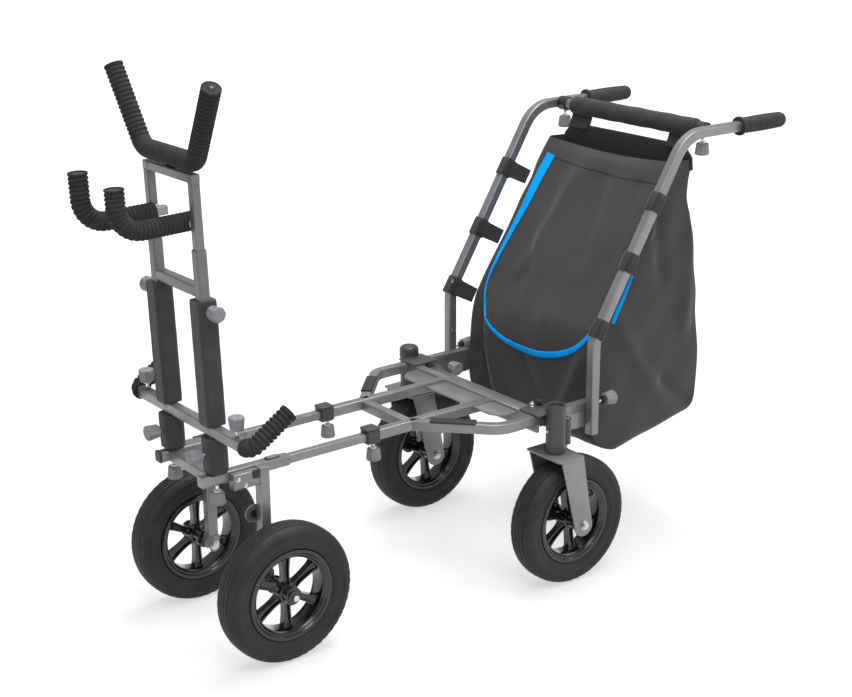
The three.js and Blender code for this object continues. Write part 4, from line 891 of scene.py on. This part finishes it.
for side, s in sides:
    a = armSet
    at, bends = np.array([0, 0, mastSet["armBar"]]), [a["bend"]]
    tip = np.array([a["ahead"], 0, a["rise"]])
    corner = np.array([0, s * a["lane"], 0])
    normal = onMast(unit(np.cross(tip, [0, s, 0]))) - onMast([0, 0, 0])
    bar = onMast(bentPath(at + [(0, s * a["start"], 0), corner, corner + tip * a["barShare"]], bends, 12))
    makePiece(f"arm_bar_{side}_tube", [squareTube(bar, normal, innerSize, powderCoat, 2.4, sealed)], f"arm_{side}",
              [f"arm_bar_{side}"])
    foam = onMast(bentPath(at + [(0, s * a["foamStart"], 0), corner, corner + tip], bends, 16))
    makePiece(f"arm_sleeve_{side}_ribbed", [ribbed(foam, normal, *a["ribs"])], f"arm_{side}",
              [f"arm_sleeve_{side}"])
print("rests made")


handleSet = {"x": 678.0, "low": 287.0, "bendLow": 478.0, "gripX": 907.0, "gripStart": 1056.0, "bends": (60.0, 80.0),
             "barHalf": postY - 10.3, "screws": (500, 392),
             "screw": [(1, 0), (4.4, 0), (4.2, 1.0), (2.6, 1.8), (0.5, 2.1)],
             "flange": [(9.9, 0), (17.6, 0), (19, 1.4), (19, 5.6), (17.6, 7), (14.2, 8.6)],
             "gripEnd": [(14.2, 123), (13.6, 127.5), (11.6, 130.2), (7, 131), (1, 131)],
             "clamp": [(8, 0), (14.2, 0), (15, 0.9), (15, 21), (14.2, 21.9), (8, 21.9)]}

for side, s in sides:
    h, y = handleSet, s * postY
    post = bentPath([(h["x"], y, h["low"]), (h["x"], y, h["bendLow"]), (h["gripX"], y, handleZ),
                     (h["gripStart"] + 7, y, handleZ)], h["bends"], 16)
    parts = [squareTube(post, alongY, tubeSize, powderCoat, 3.2, (True, False)),
             rod((h["gripStart"] - 10, y, handleZ), (h["gripStart"] + 120, y, handleZ), 9.5, powderCoat)]
    for z in h["screws"]:
        parts.append(turnedBody(h["screw"], (h["x"], y - s * 10, z), (0, -s, 0), zincPlate, 20))
    makePiece(f"post_{side}_tube", parts, "handle", [f"post_{side}"])
    # rib radius = 14.8 + 1.1 sin(pi k / 3 - 0.5) + a slow belly of 0.9 mm along the grip
    ribs = [(14.8 + 1.1 * math.sin(math.pi * k / 3 - 0.5) + 0.9 * math.sin(math.pi * (x - 12) / 105), x)
            for k, x in enumerate(np.arange(12, 121, 1.6))]
    grip = turnedBody(h["flange"] + ribs + h["gripEnd"], (h["gripStart"], y, handleZ), alongX, gripRubber, 48)
    makePiece(f"grip_{side}_rubber", [grip], "handle", [f"grip_{side}"])

half = handleSet["barHalf"]
parts = [rod(*acrossLine(crossbarX, half, handleZ), 11.0, powderCoat, 32)]
for _, s in sides:
    parts.append(turnedBody(handleSet["clamp"], (crossbarX, s * (half - 22), handleZ), (0, s, 0), blackPlastic, 36))
makePiece("crossbar_tube", parts, "handle", ["crossbar"])
print("handle made")


# Front and rear are the panels' middle lines as (x, z); a fold is its two ends, its width and its depth.
bagSet = {
    "half": 186.0,
    "front": [(782, 211), (744, 225), (717, 243), (704, 268), (699, 300), (700, 345), (704, 400), (710, 440),
              (722, 474), (742, 502), (800, 596), (860, 696), (904, 772), (914, 788)],
    "rear": [(990, 250), (1008, 262), (1013, 285), (1012, 330), (1008, 382), (1001, 440), (992, 493), (980, 570),
             (967, 645), (957, 718), (965, 752), (974, 774), (977, 786)],
    "rows": 150, "sidePoints": 44, "cornerPoints": 7, "corner": 9.0, "wall": 3.0, "sideBelly": 7.0, "floorTuck": 10.0,
    "mouthTuck": 3.0, "belly": {"front": 9.0, "rear": 8.0, "side": 4.0}, "hemDrop": 9.0,
    "frontFolds": [(165, 270, 120, 40, 13, -8), (140, 250, 60, 60, 10, 6), (178, 190, 60, 20, 12, -5),
                   (110, 560, 70, 300, 22, -4), (40, 570, 90, 330, 18, 4), (-20, 560, -60, 380, 26, -4),
                   (130, 480, -60, 260, 20, 4), (-170, 240, -80, 40, 16, 5), (20, 200, -120, 40, 18, -4),
                   (-120, 560, -140, 380, 14, -3), (150, 130, 30, 30, 9, 4)],
    "sideFolds": [(-60, 560, 20, 330, 16, -4), (60, 520, 110, 200, 20, 5), (-100, 300, 60, 60, 18, 4),
                  (40, 140, 120, 40, 12, -4), (-20, 590, -50, 450, 10, 3)]}


def smoothCurve(points, count):
    # even steps along a polyline, then rounded by averaging with a short window
    p = np.asarray(points, float)
    n = runLengths(p)
    s = np.linspace(0, n[-1], count)
    q = np.stack([np.interp(s, n, column) for column in p.T], 1)
    k = max(1, count // 22)
    pad = np.vstack([2 * q[0] - q[k:0:-1], q, 2 * q[-1] - q[-2:-k - 2:-1]])
    w = np.hanning(2 * k + 3)[1:-1]
    return np.stack([np.convolve(column, w / w.sum(), "valid") for column in pad.T], 1)


def fold(a, b, p, q, r, s, width, depth):
    # a soft crease from (p, q) to (r, s) on a panel: a bell across it that fades at both ends
    d = np.array([r - p, s - q])
    n = np.linalg.norm(d)
    t = ((a - p) * d[0] + (b - q) * d[1]) / n / n
    off = ((a - p) * d[1] - (b - q) * d[0]) / n
    return depth * np.exp(-(off / width) ** 2) * np.clip(np.minimum(t, 1 - t) * 4 + 0.6, 0, 1) ** 2


def bagGrid(shrink=0.0, wrinkles=1.5):
    # rings from the floor to the mouth: each is a rounded rectangle between the front and rear curves;
    # place = ring + outward x (belly x sine of the height + (creases + slow noise) x wrinkles)
    b = bagSet
    front, rear = smoothCurve(b["front"], b["rows"]), smoothCurve(b["rear"], b["rows"])
    v = np.linspace(0, 1, b["rows"])
    t = np.linspace(-1, 1, b["sidePoints"])[:, None]
    arc = np.linspace(0, math.pi / 2, b["cornerPoints"] + 2)[1:-1, None]
    r = b["corner"]
    depth = np.linalg.norm(rear - front, axis=1) / 2 - shrink
    half = (b["half"] - shrink + b["sideBelly"] * np.sin(math.pi * np.clip(v * 1.05, 0, 1)) ** 1.2
            - b["floorTuck"] * np.clip((0.06 - v) / 0.06, 0, 1) ** 2 - b["mouthTuck"] * np.clip((v - 0.9) / 0.1, 0, 1))
    # four turns of a flat side and the corner after it; n is the side's outward direction, m the next side's
    reach = np.stack([depth - r, half - r], 1)[:, None]
    turns = np.array([(-1, 0), (0, -1), (1, 0), (0, 1)])
    places, normals = [], []
    for n, m in zip(turns, np.roll(turns, -1, 0)):
        for core, outward in ((n + m * t, n + 0 * t), (n + m, n * np.cos(arc) + m * np.sin(arc))):
            places.append(reach * core + r * outward)
            normals.append(outward)
    a, y = np.moveaxis(np.concatenate(places, 1), -1, 0)
    na, ny = np.concatenate(normals).T
    frontFace, sideFace = np.clip(-na, 0, 1), np.abs(ny)
    height, rise = v[:, None] * 600 + 0 * a, np.sin(math.pi * v)[:, None]
    dome = (1 - (y / b["half"]) ** 2).clip(0, 1)
    sideDome = (1 - (a / np.maximum(depth, 30)[:, None]) ** 2).clip(0, 1)
    belly = (frontFace * dome * b["belly"]["front"] * rise ** 0.8 + np.clip(na, 0, 1) * dome * b["belly"]["rear"] * rise
             + sideFace * sideDome * b["belly"]["side"] * rise)
    crease = (sum(fold(y, height, *f) for f in b["frontFolds"]) * frontFace
              + sum(fold(a, height, *f) for f in b["sideFolds"]) * sideFace)
    slow = (1.3 * np.sin(y / 31 + height / 47 + 1.0) * np.sin(height / 63 - y / 55)
            + 0.6 * np.sin(a / 19 - height / 28 + 2 * y / 60))
    out = belly + (crease + slow) * wrinkles
    flat = ((front + rear) / 2)[:, None] + (a + out * na)[..., None] * unit(rear - front)[:, None]
    hem = np.clip((v - 0.965) / 0.035, 0, 1)[:, None] * frontFace * b["hemDrop"] * dome
    return np.stack([flat[..., 0], y + out * ny, flat[..., 1] - hem], -1)


def bagBodies():
    # the rings closed by a floor that sags by 5 (1 - k^2) mm, a lip, and the same rings a wall's thickness inward
    rings = bagGrid()
    rows, cols = rings.shape[:2]
    centre = rings[0].mean(0)
    floor = [centre + (rings[0] - centre) * k - (0, 0, 5.0 * (1 - k * k)) for k in (0.05, 0.4, 0.75, 0.93)]
    inner = bagGrid(bagSet["wall"], 1.35)[::-1][::3]
    lip = (rings[-1] + inner[0]) / 2 + (0, 0, 1.6)
    low = inner[-1].mean(0) + (0, 0, 4)
    under = [low + (inner[-1] + (0, 0, 4) - low) * k for k in (0.9, 0.4, 0.05)]
    full = np.concatenate([floor, rings, [lip], inner, under])
    uv = clothMap(runLengths(rings[rows // 2])[None], runLengths(full[:, 20])[:, None])
    verts, faces, _, maps = closedBody(full, bagCloth, uv=uv)
    split = (len(floor) + rows) * cols
    faces = [faces[0][:split], faces[0][split:]] + faces[1:]
    return rings, (verts, faces, [bagCloth, blackCloth, bagCloth, blackCloth], maps)


bagRings, body = bagBodies()
makePiece("bag_shell", [body], "handle", ["bag"], 60)


def clothPiece(name, parts, sharp=60):
    # a piece of cloth that rides the handle; its faces meet smoothly below sharp degrees
    return makePiece(name, parts, "handle", sharp=sharp)


def onBag(y, row):
    # a place on the front panel, between the two nearest rows and points, from its distance across and its row
    b = bagSet
    r0 = np.clip(np.asarray(row, float), 0, b["rows"] - 1.001)
    i = r0.astype(int)
    f = (r0 - i)[:, None, None]
    panel = bagRings[:, :b["sidePoints"]]
    lines = panel[i] * (1 - f) + panel[i + 1] * f
    ys = lines[:, :, 1]
    order = (ys[:, :1] - ys) / (ys[:, :1] - ys[:, -1:])
    want = np.clip((ys[:, 0] - np.asarray(y, float)) / (ys[:, 0] - ys[:, -1]), 0, 1)
    return np.array([[np.interp(w, o, column) for column in points.T] for w, o, points in zip(want, order, lines)])


def rowAt(z):
    # the row whose height in the middle of the front panel is z
    column = bagRings[:, bagSet["sidePoints"] // 2, 2]
    return np.interp(z, column, np.arange(len(column)))


def ribbonOnBag(points, widths, thick, look, lift=0.4, steps=260):
    # a flat strip carried along a line on the front panel; its outward direction is the cross product of
    # the panel's own steps across and up, and its width changes on the way
    p = smoothCurve(points, steps)
    row = rowAt(p[:, 1])
    place = smoothCurve(onBag(p[:, 0], row), steps)
    inward = p[:, 0] * 0.97
    normal = np.cross(onBag(inward + 4, row) - onBag(inward - 4, row), onBag(inward, row + 2) - onBag(inward, row - 2))
    normal = unit(normal * np.where(normal[:, :1] > 0, -1, 1))
    window = np.ones(31) / 31
    normal = unit(np.stack([np.convolve(np.pad(column, 15, "edge"), window, "valid") for column in normal.T], 1))
    across = unit(np.cross(unit(np.gradient(place, axis=0)), normal))
    normal = np.cross(across, unit(np.gradient(place, axis=0)))
    w = np.interp(np.linspace(0, 1, steps), np.linspace(0, 1, len(widths)), widths)[:, None] / 2
    ring = roundRing(1.0, 14).T
    ring = np.sign(ring) * np.abs(ring) ** 0.7
    grid = (place[:, None] + normal[:, None] * lift + (w * ring[0])[..., None] * across[:, None]
            + (thick / 2 * ring[1])[:, None] * normal[:, None])
    run = np.linspace(0, runLengths(place)[-1], steps)
    return closedBody(grid, look, uv=clothMap(run[:, None], w * ring[0]))


# The binding runs over (distance across, height) with these widths; its lower end, the branch, goes on over the
# corner on the left panel beside the post, through (x, y, z).
bindingSet = {
    "line": [(148, 757), (151, 740), (156, 708), (160, 653), (167, 612), (171, 571), (173, 531), (171, 495), (164, 470),
             (152, 447), (125, 423), (84, 407), (29, 398), (-33, 399), (-79, 406), (-122, 420), (-152, 440),
             (-172, 466), (-182, 500), (-184, 540), (-184, 572), (-183, 620), (-182, 660)],
    "widths": [26, 26, 24, 20, 15, 11, 7.5, 5, 4.5, 5.5, 8, 10.5, 12.5, 13.5, 13.5, 12.5, 11, 9.5, 8.5, 7.5, 6.5, 6, 5],
    "branch": [(750, -198.0, 492), (759, -198.8, 510), (773, -197.4, 530), (785, -196.2, 549), (796, -195.2, 567),
               (803, -194.4, 580)],
    "branchWidths": (1.7, 1.8, 1.7, 1.5, 1.3, 1.0), "hem": [(178, 754), (60, 748), (-60, 744), (-178, 746)]}
b = bindingSet
binding = ribbonOnBag(b["line"], b["widths"], 2.6, blueBinding, 1.5)
clothPiece("bag_pocket_binding", [binding])
branch = carried(b["branch"], alongY, roundedRect(1.8, 6.0, 0.8), scale=[(1, k) for k in b["branchWidths"]])
branchMap = clothMap(branch[:, :1, 2], np.arange(branch.shape[1])[None] * 0.9)
clothPiece("bag_side_binding", [closedBody(branch, blueBinding, uv=branchMap)])
seam = ribbonOnBag(b["hem"], [2.2, 2.2], 1.2, blackCloth, 0.3)
clothPiece("bag_hem_seams", [seam])


def clothPanel(grid, thick, look):
    # a sheet over a grid of points, closed by its own back at a small distance along the mean outward direction
    g = np.stack(np.broadcast_arrays(*grid), -1)
    n = unit(np.cross(g[-1, -1] - g[0, 0], g[-1, 0] - g[0, -1]))
    ring = np.concatenate([g + n * thick / 2, (g - n * thick / 2)[:, ::-1]], 1)
    across = runLengths(g[0])
    uv = clothMap(runLengths(g[:, 0])[:, None], np.concatenate([across, across[::-1]])[None])
    return closedBody(ring, look, uv=uv)


# The yoke: the stiff black rear panel above the mouth, with the hand slot below the bar, and two straps to the bar.
y, up = np.linspace(-185, 185, 60), np.linspace(0, 1, 14)[:, None]
yoke = [clothPanel((969 - 3 * up + 3 * np.cos(y / 181 * 1.5), y,
                    766 + up * (48 - 24 * np.clip((np.abs(y) - 160) / 26, 0, 1) ** 1.2)), 6.0, blackCloth)]
up = np.linspace(0, 1, 16)[:, None]
for _, s in sides:
    y = np.linspace(s * 116, s * 170, 12)
    yoke.append(clothPanel((964 + 14 * up + 4 * np.sin(3.1 * up), y, 806 + 46 * up), 8.0, blackCloth))
clothPiece("bag_yoke", yoke)

# The padded sleeve on the bar, gathered at its ends: radius = core + gather x (foam + waves in length and angle)
# + a welt where the angle is 4 radians.
sleeveSet = {"span": (-189.4, 174.0), "core": 13.5, "foam": 5.4, "gather": 9.0, "welt": 0.8, "weltAngle": 4.0}
y = np.linspace(*sleeveSet["span"], 120)[:, None]
t = np.linspace(0, 2 * math.pi, 48, endpoint=False)
gather = np.clip(np.minimum(y - y[0], y[-1] - y) / sleeveSet["gather"], 0, 1) ** 0.5
waves = 0.5 * np.sin(y / 13) * np.cos(2 * t) + 0.35 * np.sin(y / 7.3 + 1) * np.cos(t * 3)
welt = sleeveSet["welt"] * np.exp(-((np.cos(t - sleeveSet["weltAngle"]) - 1) / 0.02) ** 2)
radius = sleeveSet["core"] + gather * (sleeveSet["foam"] + waves + welt)
sleeve = np.stack([crossbarX + radius * np.cos(t), y + 0 * radius, handleZ + radius * np.sin(t)], -1)
sleeve = closedBody(sleeve, blackCloth, uv=clothMap(y, t[None] * 19))
pad = clothPiece("bar_sleeve", [sleeve])

# Tie straps: webbing round each post, and a link from there to the bag's side, where it is sewn.
tieSet = {"heights": {"left": (498.0, 618.0, 727.0), "right": (488.0, 605.0, 725.0)}, "loop": 25.6, "corner": 5.5,
          "across": [-17.0, -18.6, -19.0, -18.6, -6, 6, 18.6, 19.0, 18.6, 17.0],
          "swell": [0.84, 0.93, 0.985, 1.0, 1.015, 1.015, 1.0, 0.985, 0.93, 0.84],
          "link": (36.0, 3.4), "linkRun": 36.0, "linkStep": 24.5}
lean = math.atan2(handleSet["gripX"] - handleSet["x"], handleZ - handleSet["bendLow"])
axis = np.array([math.sin(lean), 0, math.cos(lean)])
flat = np.array([math.cos(lean), 0, -math.sin(lean)])
loop = roundedRect(tieSet["loop"], tieSet["loop"], tieSet["corner"], 5)
wide = np.array(tieSet["across"])[:, None]
q = np.linspace(0, 1, 14)[:, None]
ties = []
for side, s in sides:
    for height in tieSet["heights"][side]:
        centre = np.array([handleSet["x"] + (height - handleSet["bendLow"]) * math.tan(lean), s * postY, height])
        band = carried([centre, centre + axis], alongY, loop, 0 * wide[:, 0], tieSet["swell"]) + wide[:, None] * axis
        ties.append(closedBody(band, webbing, uv=clothMap(np.arange(len(loop))[None] * 3.8, wide)))
        link = centre + q * (flat * tieSet["linkRun"] - (0, s * tieSet["linkStep"], 0)) + flat * 2 - (0, s * 10, 0)
        strip = carried(link, axis, roundedRect(*tieSet["link"], 1.4), scale=np.hstack([1 - 0.12 * q, 1 + 0 * q]))
        ties.append(closedBody(strip, webbing, uv=clothMap(strip[0][None, :, 2], q * 50)))
clothPiece("bag_tie_straps", ties, 50)
print("bag made")


def seenBy(tree, *kinds):
    # 1 for rays of these kinds and 0 for the rest: the greatest of their flags
    rays = addNode(tree, "LightPath").outputs
    flag = rays[kinds[0]]
    for kind in kinds[1:]:
        flag = addNode(tree, "Math", {0: flag, 1: rays[kind]}, operation="MAXIMUM").outputs[0]
    return flag


# The floor is a diffuse grey that glows towards white with the distance from the middle, for camera rays alone.
floorSet = {"colour": "b4b4b4", "glowFrom": 0.9, "glowTo": 2.6, "glowLow": 0.58, "reach": 30.0}
floorMaterial = bpy.data.materials.new("studio_floor")
tree = emptyTree(floorMaterial)
seen = seenBy(tree, "Is Camera Ray", "Is Glossy Ray", "Is Transmission Ray")
paint = addNode(tree, "BsdfDiffuse", {"Color": linear(floorSet["colour"])})
place = addNode(tree, "TexCoord").outputs["Object"]
far = addNode(tree, "VectorMath", {0: place}, operation="LENGTH")
far = addNode(tree, "MapRange", {"Value": far.outputs["Value"], 1: floorSet["glowFrom"],
                                           2: floorSet["glowTo"], 3: floorSet["glowLow"], 4: 1.0})
glow = addNode(tree, "Emission", {"Color": (1, 1, 1, 1), "Strength": far.outputs[0]})
both = addNode(tree, "AddShader", {0: paint.outputs[0], 1: glow.outputs[0]})
mixed = addNode(tree, "MixShader", {0: seen, 1: paint.outputs[0], 2: both.outputs[0]})
addNode(tree, "OutputMaterial", {"Surface": mixed.outputs[0]})
ground = bpy.data.meshes.new("floor")
corners = [(a * floorSet["reach"], b * floorSet["reach"], 0) for a, b in ((-1, -1), (1, -1), (1, 1), (-1, 1))]
ground.from_pydata(corners, [], [(0, 1, 2, 3)])
ground.materials.append(floorMaterial)
floor = bpy.data.objects.new("floor", ground)
bpy.context.scene.collection.objects.link(floor)

# The world is white where it is seen, and lights with half of that.
world = bpy.data.worlds.new("studio")
tree = emptyTree(world)
soft, white = (addNode(tree, "Background", {"Color": (1, 1, 1, 1), "Strength": k}) for k in (0.5, 1.0))
seen = seenBy(tree, "Is Camera Ray", "Is Transmission Ray")
mixed = addNode(tree, "MixShader", {0: seen, 1: soft.outputs[0], 2: white.outputs[0]})
addNode(tree, "OutputWorld", {"Surface": mixed.outputs[0]})
bpy.context.scene.world = world

# Each lamp: name, place, aim, size in metres and power in watts.
lampSet = [("key", (-1.0, -2.0, 3.2), (0.1, 0, 0.4), 1.8, 48), ("top", (0.5, 0.3, 3.6), (0.1, 0, 0.3), 2.0, 84),
           ("side", (2.6, -2.2, 1.6), (0.2, 0, 0.5), 1.6, 18)]
for name, place, aim, size, power in lampSet:
    data = bpy.data.lights.new(name, "AREA")
    data.shape = "SQUARE"
    data.size = size
    data.energy = power
    lamp = bpy.data.objects.new(name, data)
    lamp.location = place
    lamp.rotation_euler = (Vector(aim) - Vector(place)).to_track_quat("-Z", "Y").to_euler()
    bpy.context.scene.collection.objects.link(lamp)
print("stage and light made")
